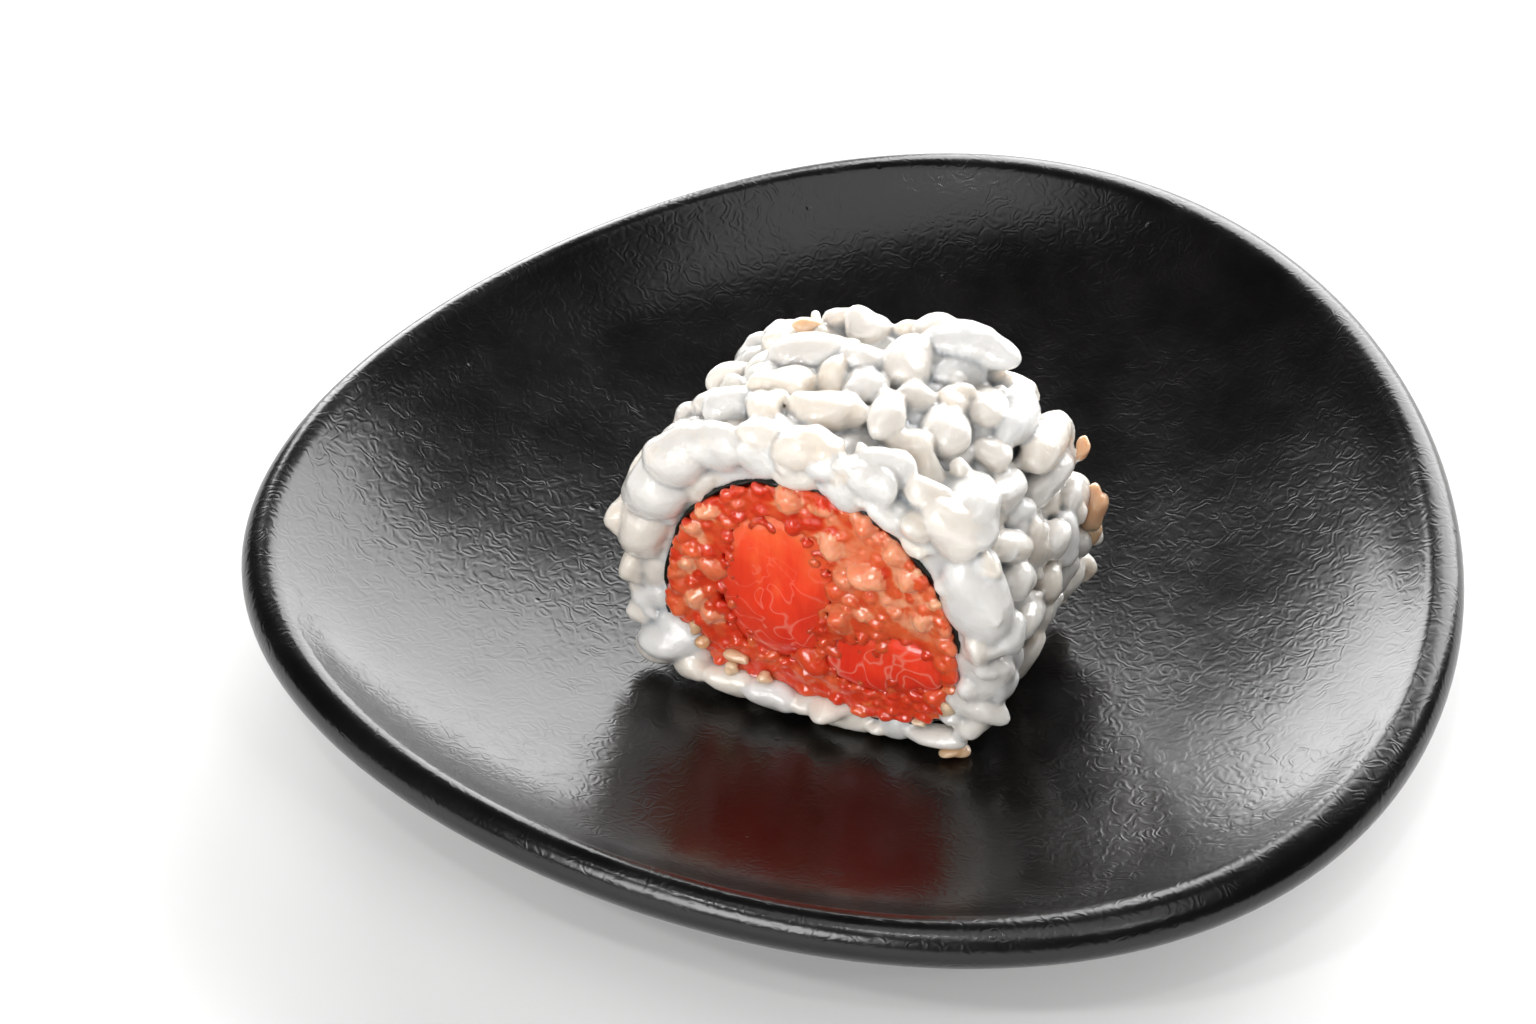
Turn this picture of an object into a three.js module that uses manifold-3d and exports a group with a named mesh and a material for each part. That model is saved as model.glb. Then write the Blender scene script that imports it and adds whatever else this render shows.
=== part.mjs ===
// Uramaki roll resting in an egg-shaped stoneware dish. Millimetres, +Z up.
// The origin is on the table under the middle of the dish.
// +X points to the dish's blunt end and -Y to the diner.
// The roll is a rice jacket around a sheet of nori, which wraps chopped salmon and two whole strips.
import * as THREE from 'three';
import { ParametricGeometry } from 'three/addons/geometries/ParametricGeometry.js';
import { mergeVertices } from 'three/addons/utils/BufferGeometryUtils.js';
import Module from 'manifold-3d';

// Dish: overall sizes, then its egg outline, bowl, lip and foot
const DISH_LENGTH = 112;
const DISH_WIDTH = 105;
const RIM_HEIGHT = 17.5;
const FLOOR_TOP = 5.5;
const EGG_SHARE = 0.198; // how much wider than its middle the blunt end is drawn, as a share
const LIP_RADIUS = 2.3;
const LIP_STARTS_DEG = 130; // where the bowl runs into the round lip, measured from +X
const LIP_ENDS_DEG = -50;
const RIM_POWER = 10; // how late the bowl's wall steepens towards the lip
const FOOT_RADIUS = 26.5;
const FOOT_WIDTH = 4;
const FOOT_HEIGHT = 3.4;
const FOOT_DRAFT = 1;
const UNDERSIDE = 1.6; // clearance between the table and the floor's underside, inside the foot
const WALL_BELLY = [47, 8]; // radius and height that the outer wall bows towards
const DISH_SEGMENTS = 64;
const BOWL_STEPS = 11;
const LIP_STEPS = 7;
const WALL_STEPS = 5;

// Roll: where it lies, its length and its outlines seen on the cut face
const ROLL_FRONT = [-6, -15.6]; // middle of the front cut face, on the dish
const ROLL_YAW_DEG = -29;
const ROLL_LENGTH = 21.5;
const BACK_SHARE = 0.94; // the back end's size, as a share of the front's
const BACK_SHIFT = 1; // how far the back end leans to the right
const GAP = 0.3; // air between neighbouring pieces
const SETTLE_HEIGHT = 8; // below this the soft roll takes up the dish's curve
const RICE_OUTLINE = {
  across: 0.8,
  foot: 0,
  width: 38.5,
  height: 34.8,
  waist: 16.5, // height of the widest place, where the round top meets the squarer foot
  topPower: 2.2,
  footPower: 2.8,
};
const NORI_OUTLINE = {
  across: 1.1,
  foot: 2.4,
  width: 28.8,
  height: 27.5,
  waist: 9.8,
  topPower: 2.1,
  footPower: 3,
};
const NORI_THICKNESS = 0.5;
const SALMON_LEFT = { across: -2.4, up: 16.4, halfWidth: 5.1, halfHeight: 8.5, turn: -8, power: 2.7 };
const SALMON_RIGHT = { across: 8.2, up: 11, halfWidth: 5.7, halfHeight: 3.2, turn: 20, power: 2.5 };
const CUT_ROUNDING = 0.6; // rounding where a filling's side meets its cut end
const OUTLINE_STEPS = 60;
const STRIP_STEPS = 28;

// Rice: the grains that stand proud of the jacket
const GRAIN_LENGTH = 8;
const GRAIN_WIDTH = 4.6;
const GRAIN_PROUD = 1.6;
const GRAINS_AROUND = 18;
const GRAIN_ROWS = 6;
const GRAINS_FROM = 5; // the grains stand proud fully from this height, and not at all at the foot
const JACKET_WALL = 5; // mean thickness of the rice
const JACKET_CORNER = 1.8;
const JACKET_AROUND = 68;
const JACKET_ROWS = 28;

const COLOURS = { stoneware: 0x0d0d0d, rice: 0xf1ece6, nori: 0x0c100c, mash: 0xdc6440, salmon: 0xe8472b };

const HALF_LENGTH = DISH_LENGTH / 2;
const HALF_WIDTH = DISH_WIDTH / 2 / eggBulge(EGG_SHARE);
const ROLL_YAW = THREE.MathUtils.degToRad(ROLL_YAW_DEG);

// The egg outline's widest place, as a share of its middle half width.
function eggBulge(share) {
  const along = (Math.sqrt(1 + 8 * share ** 2) - 1) / (4 * share);
  return Math.sqrt(1 - along ** 2) * (1 + share * along);
}

// A point of the lip's round edge, as radius and height.
function lipPoint(degrees) {
  const angle = THREE.MathUtils.degToRad(degrees);
  return new THREE.Vector2(
    HALF_LENGTH - LIP_RADIUS + LIP_RADIUS * Math.cos(angle),
    RIM_HEIGHT - LIP_RADIUS + LIP_RADIUS * Math.sin(angle),
  );
}

// The bowl is a shallow parabola plus a late rise, sized so that it meets the lip without a kink.
const bowlEnd = lipPoint(LIP_STARTS_DEG);
const bowlDepth = bowlEnd.y - FLOOR_TOP;
const lipSlope = Math.tan(THREE.MathUtils.degToRad(LIP_STARTS_DEG - 90));
const rimRise = (lipSlope * bowlEnd.x - 2 * bowlDepth) / (RIM_POWER - 2);

function bowlHeight(radius) {
  const share = radius / bowlEnd.x;
  return FLOOR_TOP + (bowlDepth - rimRise) * share ** 2 + rimRise * share ** RIM_POWER;
}

// Height of the dish's upper surface at a place in plan.
function dishHeight(x, y) {
  const along = x / HALF_LENGTH;
  const across = y / (HALF_WIDTH * (1 + EGG_SHARE * along));
  return bowlHeight(HALF_LENGTH * Math.hypot(along, across));
}

// The dish's half section from the middle of the floor, over the lip and round the foot to the axis.
function dishProfile() {
  const bowl = [];
  for (let i = 0; i < BOWL_STEPS; i++) {
    const radius = (bowlEnd.x * i) / BOWL_STEPS;
    bowl.push(new THREE.Vector2(radius, bowlHeight(radius)));
  }
  const lip = [];
  for (let i = 0; i <= LIP_STEPS; i++) {
    lip.push(lipPoint(THREE.MathUtils.lerp(LIP_STARTS_DEG, LIP_ENDS_DEG, i / LIP_STEPS)));
  }
  const wall = new THREE.QuadraticBezierCurve(
    lip.at(-1),
    new THREE.Vector2(...WALL_BELLY),
    new THREE.Vector2(FOOT_RADIUS + FOOT_DRAFT, FOOT_HEIGHT),
  );
  const foot = [
    [FOOT_RADIUS, 0],
    [FOOT_RADIUS - FOOT_WIDTH, 0],
    [FOOT_RADIUS - FOOT_WIDTH - FOOT_DRAFT, UNDERSIDE],
    [0, UNDERSIDE],
  ].map(([radius, height]) => new THREE.Vector2(radius, height));
  return [...bowl, ...lip, ...wall.getPoints(WALL_STEPS).slice(1), ...foot];
}

// The dish is turned as a round one, then drawn out to its egg outline.
function makeDish() {
  const geometry = new THREE.LatheGeometry(dishProfile().reverse(), DISH_SEGMENTS).rotateX(Math.PI / 2);
  const place = geometry.attributes.position;
  for (let i = 0; i < place.count; i++) {
    const along = place.getX(i) / HALF_LENGTH;
    const across = place.getY(i) / HALF_LENGTH;
    place.setY(i, HALF_WIDTH * across * (1 + EGG_SHARE * along));
  }
  return geometry;
}

function signedPower(value, power) {
  return Math.sign(value) * Math.abs(value) ** (2 / power);
}

// A point of an arch outline, with a round top over a squarer foot. turn goes once round from 0 to 1.
function archPoint(outline, turn, inset = 0) {
  const angle = 2 * Math.PI * turn;
  const isTop = Math.sin(angle) >= 0;
  const power = isTop ? outline.topPower : outline.footPower;
  const rise = (isTop ? outline.height - outline.waist : outline.waist) - inset;
  return new THREE.Vector2(
    outline.across + (outline.width / 2 - inset) * signedPower(Math.cos(angle), power),
    outline.foot + outline.waist + rise * signedPower(Math.sin(angle), power),
  );
}

function archShape(outline, inset) {
  const points = [];
  for (let i = 0; i < OUTLINE_STEPS; i++) points.push(archPoint(outline, i / OUTLINE_STEPS, inset));
  return new THREE.Shape(points);
}

// A salmon strip's rounded outline, grown by a margin.
function stripShape(strip, margin = 0) {
  const points = [];
  for (let i = 0; i < STRIP_STEPS; i++) {
    const angle = (2 * Math.PI * i) / STRIP_STEPS;
    const point = new THREE.Vector2(
      (strip.halfWidth + margin) * signedPower(Math.cos(angle), strip.power),
      (strip.halfHeight + margin) * signedPower(Math.sin(angle), strip.power),
    );
    point.rotateAround(new THREE.Vector2(), THREE.MathUtils.degToRad(strip.turn));
    points.push(point.add(new THREE.Vector2(strip.across, strip.up)));
  }
  return new THREE.Shape(points);
}

// Runs an outline along the roll, from `from` to `to`, with its ends rounded by `rounding`.
function runAlong(shape, from, to, rounding = 0) {
  const geometry = new THREE.ExtrudeGeometry(shape, {
    depth: to - from - 2 * rounding,
    steps: 2,
    bevelEnabled: rounding > 0,
    bevelThickness: rounding,
    bevelSize: rounding,
    bevelOffset: -rounding,
    bevelSegments: 2,
  });
  return geometry.translate(0, 0, rounding - to).rotateX(Math.PI / 2);
}

// The rice wall cut lengthwise: x runs from the nori out to the surface, y from the front cut to the back.
function jacketLoop() {
  const [wide, long, round] = [JACKET_WALL, ROLL_LENGTH, JACKET_CORNER];
  return new THREE.Path()
    .moveTo(round, 0)
    .lineTo(wide - round, 0)
    .quadraticCurveTo(wide, 0, wide, round)
    .lineTo(wide, long - round)
    .quadraticCurveTo(wide, long, wide - round, long)
    .lineTo(round, long)
    .quadraticCurveTo(0, long, 0, long - round)
    .lineTo(0, round)
    .quadraticCurveTo(0, 0, round, 0);
}

// The jacket's smooth surface under its grains.
const loop = jacketLoop();
function jacketPoint(turn, share) {
  const wall = loop.getPointAt(share % 1);
  const inner = archPoint(NORI_OUTLINE, turn, -GAP);
  const outer = archPoint(RICE_OUTLINE, turn, GRAIN_PROUD / 2);
  const point = inner.lerp(outer, wall.x / JACKET_WALL);
  return new THREE.Vector3(point.x, wall.y, point.y);
}

// The jacket's outward direction and its two directions along the surface.
function jacketFrame(turn, share) {
  const step = 1e-3;
  const around = jacketPoint(turn + step, share).sub(jacketPoint(turn - step, share)).normalize();
  const along = jacketPoint(turn, share + step).sub(jacketPoint(turn, share - step + 1)).normalize();
  const out = new THREE.Vector3().crossVectors(along, around).normalize();
  return { around, along, out };
}

// Grains laid in uneven rows over the jacket's cut ends and its outside, each turned its own way.
function layGrains() {
  THREE.MathUtils.seededRandom(7);
  const uneven = (spread) => (THREE.MathUtils.seededRandom() - 0.5) * spread;
  const shown = (2 * JACKET_WALL + ROLL_LENGTH) / loop.getLength();
  const grains = [];
  for (let row = 0; row < GRAIN_ROWS; row++) {
    for (let step = 0; step < GRAINS_AROUND; step++) {
      const turn = (step + row / 2 + uneven(0.6)) / GRAINS_AROUND;
      const share = (shown * (row + 0.5 + uneven(0.5))) / GRAIN_ROWS;
      const { around, along } = jacketFrame(turn, share);
      const heading = uneven(2 * Math.PI);
      const lies = around.multiplyScalar(Math.cos(heading)).addScaledVector(along, Math.sin(heading));
      grains.push({
        place: jacketPoint(turn, share),
        lies: lies.normalize(),
        halfLength: (GRAIN_LENGTH / 2) * (1 + uneven(0.4)),
        halfWidth: (GRAIN_WIDTH / 2) * (1 + uneven(0.3)),
      });
    }
  }
  return grains;
}

// How far the grains stand out at a place: the tallest of the rounded backs that cover it.
function proudAt(place, grains) {
  const away = new THREE.Vector3();
  let tallest = 0;
  for (const grain of grains) {
    away.subVectors(place, grain.place);
    const lengthwise = away.dot(grain.lies);
    const sideways2 = away.lengthSq() - lengthwise ** 2;
    const back = 1 - (lengthwise / grain.halfLength) ** 2 - sideways2 / grain.halfWidth ** 2;
    tallest = Math.max(tallest, back);
  }
  return GRAIN_PROUD * tallest;
}

// The rice jacket, lumpy with grains on its outside and cut ends and smooth where it faces the nori.
function makeJacket() {
  const grains = layGrains();
  const surface = (share, turn, target) => {
    const point = jacketPoint(turn, share);
    const clear = THREE.MathUtils.smoothstep(loop.getPointAt(share % 1).x, 0, JACKET_WALL / 2);
    const proud = clear * THREE.MathUtils.smoothstep(point.z, 0, GRAINS_FROM);
    if (proud > 0) point.addScaledVector(jacketFrame(turn, share).out, proud * proudAt(point, grains));
    target.copy(point);
  };
  return new ParametricGeometry(surface, JACKET_ROWS, JACKET_AROUND);
}

const wasm = await Module();
wasm.setup();

function toSolid(geometry) {
  const bare = geometry.clone();
  bare.deleteAttribute('normal');
  bare.deleteAttribute('uv');
  const merged = mergeVertices(bare);
  return new wasm.Manifold(
    new wasm.Mesh({
      numProp: 3,
      vertProperties: new Float32Array(merged.attributes.position.array),
      triVerts: new Uint32Array(merged.index.array),
    }),
  );
}

function toGeometry(solid) {
  const { vertProperties, triVerts } = solid.getMesh();
  return new THREE.BufferGeometry()
    .setAttribute('position', new THREE.BufferAttribute(vertProperties, 3))
    .setIndex(new THREE.BufferAttribute(triVerts, 1));
}

// The chopped salmon fills the nori, with room cut through it for the whole strips.
function makeMash() {
  const body = runAlong(archShape(NORI_OUTLINE, NORI_THICKNESS + GAP), 0, ROLL_LENGTH, CUT_ROUNDING);
  const overrun = ROLL_LENGTH / 4;
  return toGeometry(
    [SALMON_LEFT, SALMON_RIGHT]
      .map((strip) => toSolid(runAlong(stripShape(strip, GAP), -overrun, ROLL_LENGTH + overrun)))
      .reduce((solid, room) => solid.subtract(room), toSolid(body)),
  );
}

function makeNori() {
  const sheet = archShape(NORI_OUTLINE, 0);
  sheet.holes.push(new THREE.Path(archShape(NORI_OUTLINE, NORI_THICKNESS).getPoints()));
  return runAlong(sheet, 0, ROLL_LENGTH);
}

// Narrows a piece of the roll towards the back, then lets its foot take up the dish's curve.
function settle(geometry) {
  const place = geometry.attributes.position;
  const [cos, sin] = [Math.cos(ROLL_YAW), Math.sin(ROLL_YAW)];
  for (let i = 0; i < place.count; i++) {
    const y = place.getY(i);
    const narrow = THREE.MathUtils.lerp(1, BACK_SHARE, y / ROLL_LENGTH);
    const x = place.getX(i) * narrow + BACK_SHIFT * (y / ROLL_LENGTH);
    const z = Math.max(0, place.getZ(i) * narrow);
    const worldX = ROLL_FRONT[0] + x * cos - y * sin;
    const worldY = ROLL_FRONT[1] + x * sin + y * cos;
    const rest = dishHeight(worldX, worldY) - FLOOR_TOP + GAP;
    place.setXYZ(i, x, y, z + rest * Math.max(0, 1 - z / SETTLE_HEIGHT));
  }
  return geometry;
}

function mesh(name, geometry, color, roughness) {
  const made = new THREE.Mesh(geometry, new THREE.MeshStandardMaterial({ color, roughness, metalness: 0 }));
  made.name = name;
  return made;
}

const roll = new THREE.Group();
roll.position.set(...ROLL_FRONT, FLOOR_TOP);
roll.rotation.z = ROLL_YAW;
roll.add(
  mesh('rice_jacket', settle(makeJacket()), COLOURS.rice, 0.35),
  mesh('nori_sheet', settle(makeNori()), COLOURS.nori, 0.5),
  mesh('chopped_salmon', settle(makeMash()), COLOURS.mash, 0.35),
);
for (const [name, strip] of Object.entries({ salmon_left: SALMON_LEFT, salmon_right: SALMON_RIGHT })) {
  const geometry = runAlong(stripShape(strip), 0, ROLL_LENGTH, CUT_ROUNDING);
  roll.add(mesh(name, settle(geometry), COLOURS.salmon, 0.3));
}

const uramaki = new THREE.Group();
uramaki.add(mesh('dish', makeDish(), COLOURS.stoneware, 0.3), roll);

export default uramaki;
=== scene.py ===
"""Looks of an uramaki roll that rests in an egg-shaped stoneware dish.

Everything is in metres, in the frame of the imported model: the origin is on the table under the dish,
+X points to the dish's blunt end and -Y to the diner. The roll has a frame of its own, in which x runs
across the cut face, y from the front cut to the back one, and z up from the bottom of the bowl.
"""

import logging
import math
from collections.abc import Callable
from dataclasses import dataclass, field
from enum import Enum

import bpy
import numpy as np
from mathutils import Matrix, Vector, kdtree, noise


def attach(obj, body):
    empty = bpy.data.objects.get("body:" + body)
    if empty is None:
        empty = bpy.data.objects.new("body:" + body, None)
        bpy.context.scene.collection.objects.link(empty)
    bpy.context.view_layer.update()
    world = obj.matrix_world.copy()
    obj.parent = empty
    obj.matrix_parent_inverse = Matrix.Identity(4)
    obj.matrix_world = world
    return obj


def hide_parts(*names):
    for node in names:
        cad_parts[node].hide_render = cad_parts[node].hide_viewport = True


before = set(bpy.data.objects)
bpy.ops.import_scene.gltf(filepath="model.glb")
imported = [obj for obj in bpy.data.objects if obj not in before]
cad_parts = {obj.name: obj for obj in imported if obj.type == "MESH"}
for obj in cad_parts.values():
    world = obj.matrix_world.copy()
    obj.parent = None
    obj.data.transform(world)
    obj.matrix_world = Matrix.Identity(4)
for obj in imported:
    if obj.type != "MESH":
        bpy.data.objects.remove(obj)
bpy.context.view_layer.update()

MM = 0.001
BODY = "root"
LOG = logging.getLogger("uramaki")
MERGE_DISTANCE = 1e-6
TURN_STEP = 1e-3
PHASES = (0, 6.3)

Array = np.ndarray
Socket = bpy.types.NodeSocket


def linear(hex_colour: str) -> tuple[float, float, float, float]:
    """Turns an sRGB hex colour into the linear colour that Blender's sockets take.

    Args:
        hex_colour: Six hex digits after a hash sign.

    Returns:
        Linear red, green and blue, and a full opacity.
    """
    shares = [int(hex_colour[i:i + 2], 16) / 255 for i in (1, 3, 5)]
    light = [s / 12.92 if s <= 0.04045 else ((s + 0.055) / 1.055) ** 2.4 for s in shares]
    return (*light, 1.0)


def signed_power(value: Array, power: Array | float) -> Array:
    """Raises the size of a value to 2 / power and keeps its sign, as a superellipse needs."""
    return np.sign(value) * np.abs(value) ** (2 / power)


def smooth_share(value: Array, low: float, high: float) -> Array:
    """Rises smoothly from 0 at low to 1 at high."""
    share = np.clip((value - low) / (high - low), 0, 1)
    return share * share * (3 - 2 * share)


def rough(points: Array, size: float, seed: float) -> Array:
    """Reads smooth noise, from about -1 to 1, at each point.

    Args:
        points: Places in metres, one per row.
        size: Size of one lump of the noise, in metres.
        seed: Moves the noise to another part of itself.

    Returns:
        One value for each point.
    """
    shifted = points / size + seed
    return np.array([noise.noise(Vector(point)) for point in shifted])


def deselect_all() -> None:
    """Leaves object mode with nothing selected, as each operator needs."""
    if bpy.context.object and bpy.context.object.mode != "OBJECT":
        bpy.ops.object.mode_set(mode="OBJECT")
    bpy.ops.object.select_all(action="DESELECT")


def select_only(piece: bpy.types.Object) -> None:
    """Makes one piece the selected and active one."""
    deselect_all()
    piece.select_set(True)
    bpy.context.view_layer.objects.active = piece


def apply_modifier(piece: bpy.types.Object, kind: str, **settings: object) -> None:
    """Adds a modifier with its settings and applies it.

    Args:
        piece: The piece to change.
        kind: Blender's name for the kind of modifier.
        **settings: Values for the modifier's own settings.
    """
    select_only(piece)
    modifier = piece.modifiers.new(kind.lower(), kind)
    for name, value in settings.items():
        setattr(modifier, name, value)
    bpy.ops.object.modifier_apply(modifier=modifier.name)


def points_of(piece: bpy.types.Object) -> Array:
    """Reads a piece's vertices, one per row."""
    flat = np.empty(len(piece.data.vertices) * 3)
    piece.data.vertices.foreach_get("co", flat)
    return flat.reshape(-1, 3)


def normals_of(piece: bpy.types.Object) -> Array:
    """Reads a piece's vertex normals, one per row."""
    flat = np.empty(len(piece.data.vertices) * 3)
    piece.data.vertices.foreach_get("normal", flat)
    return flat.reshape(-1, 3)


def move_points(piece: bpy.types.Object, points: Array) -> None:
    """Moves a piece's vertices to the given places."""
    piece.data.vertices.foreach_set("co", points.ravel())
    piece.data.update()


def lift(piece: bpy.types.Object, height_at: Callable[[Array], Array]) -> None:
    """Moves each vertex out along its normal by the height that its place gives."""
    points, normals = points_of(piece), normals_of(piece)
    move_points(piece, points + normals * height_at(points)[:, None])


def shade_smooth(piece: bpy.types.Object) -> None:
    """Turns a piece's faces outwards and shades them smooth."""
    select_only(piece)
    bpy.ops.object.mode_set(mode="EDIT")
    bpy.ops.mesh.select_all(action="SELECT")
    bpy.ops.mesh.normals_make_consistent(inside=False)
    bpy.ops.object.mode_set(mode="OBJECT")
    bpy.ops.object.shade_smooth()


def unit_ball(subdivisions: int) -> tuple[Array, Array]:
    """Models a ball of radius 1 and takes its points and triangles, then removes it.

    Args:
        subdivisions: How often the icosahedron is divided.

    Returns:
        The ball's points and its triangles.
    """
    deselect_all()
    bpy.ops.mesh.primitive_ico_sphere_add(subdivisions=subdivisions, radius=1)
    ball = bpy.context.object
    points = points_of(ball)
    triangles = np.array([list(face.vertices) for face in ball.data.polygons])
    bpy.data.objects.remove(ball)
    return points, triangles


def copy_node(name: str) -> bpy.types.Object:
    """Copies a CAD node's mesh, with its doubled points merged, as a new piece."""
    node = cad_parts[name]
    piece = bpy.data.objects.new(name + "_copy", node.data.copy())
    piece.matrix_world = node.matrix_world
    bpy.context.scene.collection.objects.link(piece)
    select_only(piece)
    bpy.ops.object.transform_apply(location=True, rotation=True, scale=True)
    bpy.ops.object.mode_set(mode="EDIT")
    bpy.ops.mesh.select_all(action="SELECT")
    bpy.ops.mesh.remove_doubles(threshold=MERGE_DISTANCE)
    bpy.ops.object.mode_set(mode="OBJECT")
    return piece


def mesh_piece(name: str, points: Array, faces: Array) -> bpy.types.Object:
    """Makes a piece from points and faces.

    Args:
        name: Name of the piece.
        points: Places in metres, one per row.
        faces: Corner numbers, one face per row.

    Returns:
        The new piece, linked to the scene.
    """
    mesh = bpy.data.meshes.new(name)
    mesh.vertices.add(len(points))
    mesh.vertices.foreach_set("co", points.ravel())
    mesh.loops.add(faces.size)
    mesh.loops.foreach_set("vertex_index", faces.ravel())
    mesh.polygons.add(len(faces))
    mesh.polygons.foreach_set("loop_start", np.arange(0, faces.size, faces.shape[1]))
    mesh.update(calc_edges=True)
    piece = bpy.data.objects.new(name, mesh)
    bpy.context.scene.collection.objects.link(piece)
    return piece


def turned_piece(name: str, rings: list[tuple[float, float]], segments: int,
                 is_capped: bool) -> bpy.types.Object:
    """Models a round body by drawing a circle out ring by ring.

    Args:
        name: Name of the piece.
        rings: Radius and height of each ring; a body that isn't capped ends where it starts.
        segments: Number of points round each ring.
        is_capped: Whether the first and the last ring are filled.

    Returns:
        The closed body, with its axis upright.
    """
    deselect_all()
    filling = "NGON" if is_capped else "NOTHING"
    bpy.ops.mesh.primitive_circle_add(
        vertices=segments, radius=rings[0][0], location=(0, 0, 0), fill_type=filling)
    piece = bpy.context.object
    piece.name = name
    bpy.ops.object.mode_set(mode="EDIT")
    bpy.ops.mesh.select_all(action="SELECT")
    bpy.ops.transform.translate(value=(0, 0, rings[0][1]))
    bpy.ops.mesh.select_mode(type="EDGE")
    if is_capped:
        bpy.ops.mesh.region_to_loop()
    for (radius, height), (next_radius, next_height) in zip(rings, rings[1:]):
        bpy.ops.mesh.extrude_edges_move(TRANSFORM_OT_translate={"value": (0, 0, next_height - height)})
        grow = next_radius / radius
        bpy.ops.transform.resize(value=(grow, grow, 1), center_override=(0, 0, next_height))
    if is_capped:
        bpy.ops.mesh.edge_face_add()
    bpy.ops.mesh.select_all(action="SELECT")
    bpy.ops.mesh.remove_doubles(threshold=MERGE_DISTANCE)
    bpy.ops.object.mode_set(mode="OBJECT")
    return piece


def melt(name: str, shapes: list[Array], triangles: Array, body: bpy.types.Object, voxel: float,
         smoothing: int) -> bpy.types.Object:
    """Melts many small closed shapes and the body they lie on into one skin.

    Args:
        name: Name of the piece.
        shapes: Points of each shape, one set per shape.
        triangles: The triangles that all the shapes share.
        body: The body under the shapes, which is used up.
        voxel: Size of the skin's faces, in metres.
        smoothing: Rounds of smoothing over the creases.

    Returns:
        The piece.
    """
    starts = len(shapes[0]) * np.arange(len(shapes))
    faces = triangles[None] + starts[:, None, None]
    piece = mesh_piece(name, np.concatenate(shapes), faces.reshape(-1, 3))
    select_only(piece)
    body.select_set(True)
    bpy.ops.object.join()
    apply_modifier(piece, "REMESH", mode="VOXEL", voxel_size=voxel, use_smooth_shade=True)
    apply_modifier(piece, "SMOOTH", factor=0.5, iterations=smoothing)
    return piece


def thin_out(piece: bpy.types.Object, limit: int) -> None:
    """Takes triangles away where the piece is smooth until it has no more than the limit."""
    piece.data.calc_loop_triangles()
    count = len(piece.data.loop_triangles)
    if count > limit:
        apply_modifier(piece, "DECIMATE", ratio=limit / count)


def hollows(piece: bpy.types.Object, rounds: int, depth: float) -> Array:
    """Measures how far each vertex lies in a hollow between its neighbours.

    Args:
        piece: The piece to measure.
        rounds: Rounds of evening out; more rounds see wider hollows.
        depth: Depth that counts as fully hollow, in metres.

    Returns:
        From 0 on open ground to 1 in a full hollow.
    """
    edges = np.empty(len(piece.data.edges) * 2, dtype=np.int64)
    piece.data.edges.foreach_get("vertices", edges)
    one, other = edges.reshape(-1, 2).T
    points = points_of(piece)
    count = len(points)
    shared = np.bincount(one, minlength=count) + np.bincount(other, minlength=count)
    even = points.copy()
    for _ in range(rounds):
        for axis in range(3):
            near = even[:, axis]
            total = np.bincount(one, near[other], count) + np.bincount(other, near[one], count)
            even[:, axis] = total / shared
    sunk = np.sum((even - points) * normals_of(piece), axis=1)
    return np.clip(sunk / depth, 0, 1)


def paint_nearest(piece: bpy.types.Object, name: str, places: Array, values: Array) -> None:
    """Gives each vertex the value of the nearest marked place, as an attribute.

    Args:
        piece: The piece to paint.
        name: Name of the attribute that the material reads.
        places: Marked places, one per row.
        values: One value for each marked place.
    """
    tree = kdtree.KDTree(len(places))
    for index, place in enumerate(places):
        tree.insert(place, index)
    tree.balance()
    found = np.array([tree.find(point)[1] for point in points_of(piece)])
    paint(piece, name, values[found])


def paint(piece: bpy.types.Object, name: str, values: Array) -> None:
    """Stores one number per vertex as an attribute that a material reads."""
    attribute = piece.data.attributes.new(name, "FLOAT", "POINT")
    attribute.data.foreach_set("value", values.astype(np.float32))


def add_node(tree: bpy.types.NodeTree, kind: str, inputs: dict[str | int, object] | None = None,
             **settings: object) -> bpy.types.Node:
    """Adds a node with its settings and links.

    Args:
        tree: The material's node tree.
        kind: Blender's name for the kind of node.
        inputs: Values or sockets for the node's inputs, by name or number.
        **settings: Values for the node's own settings.

    Returns:
        The new node.
    """
    node = tree.nodes.new(kind)
    for name, value in settings.items():
        setattr(node, name, value)
    for name, value in (inputs or {}).items():
        if isinstance(value, Socket):
            tree.links.new(value, node.inputs[name])
        else:
            node.inputs[name].default_value = value
    return node


def start_material(name: str) -> tuple[bpy.types.Material, bpy.types.NodeTree, Socket]:
    """Starts a material with its surface pattern space.

    Args:
        name: Name of the material.

    Returns:
        The material, its empty node tree and the Object coordinates in metres.
    """
    material = bpy.data.materials.new(name)
    material.use_nodes = True
    tree = material.node_tree
    tree.nodes.clear()
    return material, tree, add_node(tree, "ShaderNodeTexCoord").outputs["Object"]


def ramp(tree: bpy.types.NodeTree, value: Socket, *stops: tuple[float, str]) -> Socket:
    """Turns a value into a colour through colour stops given as a place and a hex colour."""
    node = add_node(tree, "ShaderNodeValToRGB", {"Fac": value})
    elements = node.color_ramp.elements
    while len(elements) < len(stops):
        elements.new(1.0)
    for element, (place, colour) in zip(elements, stops):
        element.position = place
        element.color = linear(colour)
    return node.outputs["Color"]


def finish_surface(material: bpy.types.Material, inputs: dict[str, object]) -> bpy.types.Material:
    """Ends a material with the main surface shader."""
    tree = material.node_tree
    shader = add_node(tree, "ShaderNodeBsdfPrincipled", inputs)
    add_node(tree, "ShaderNodeOutputMaterial", {"Surface": shader.outputs["BSDF"]})
    return material


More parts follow.
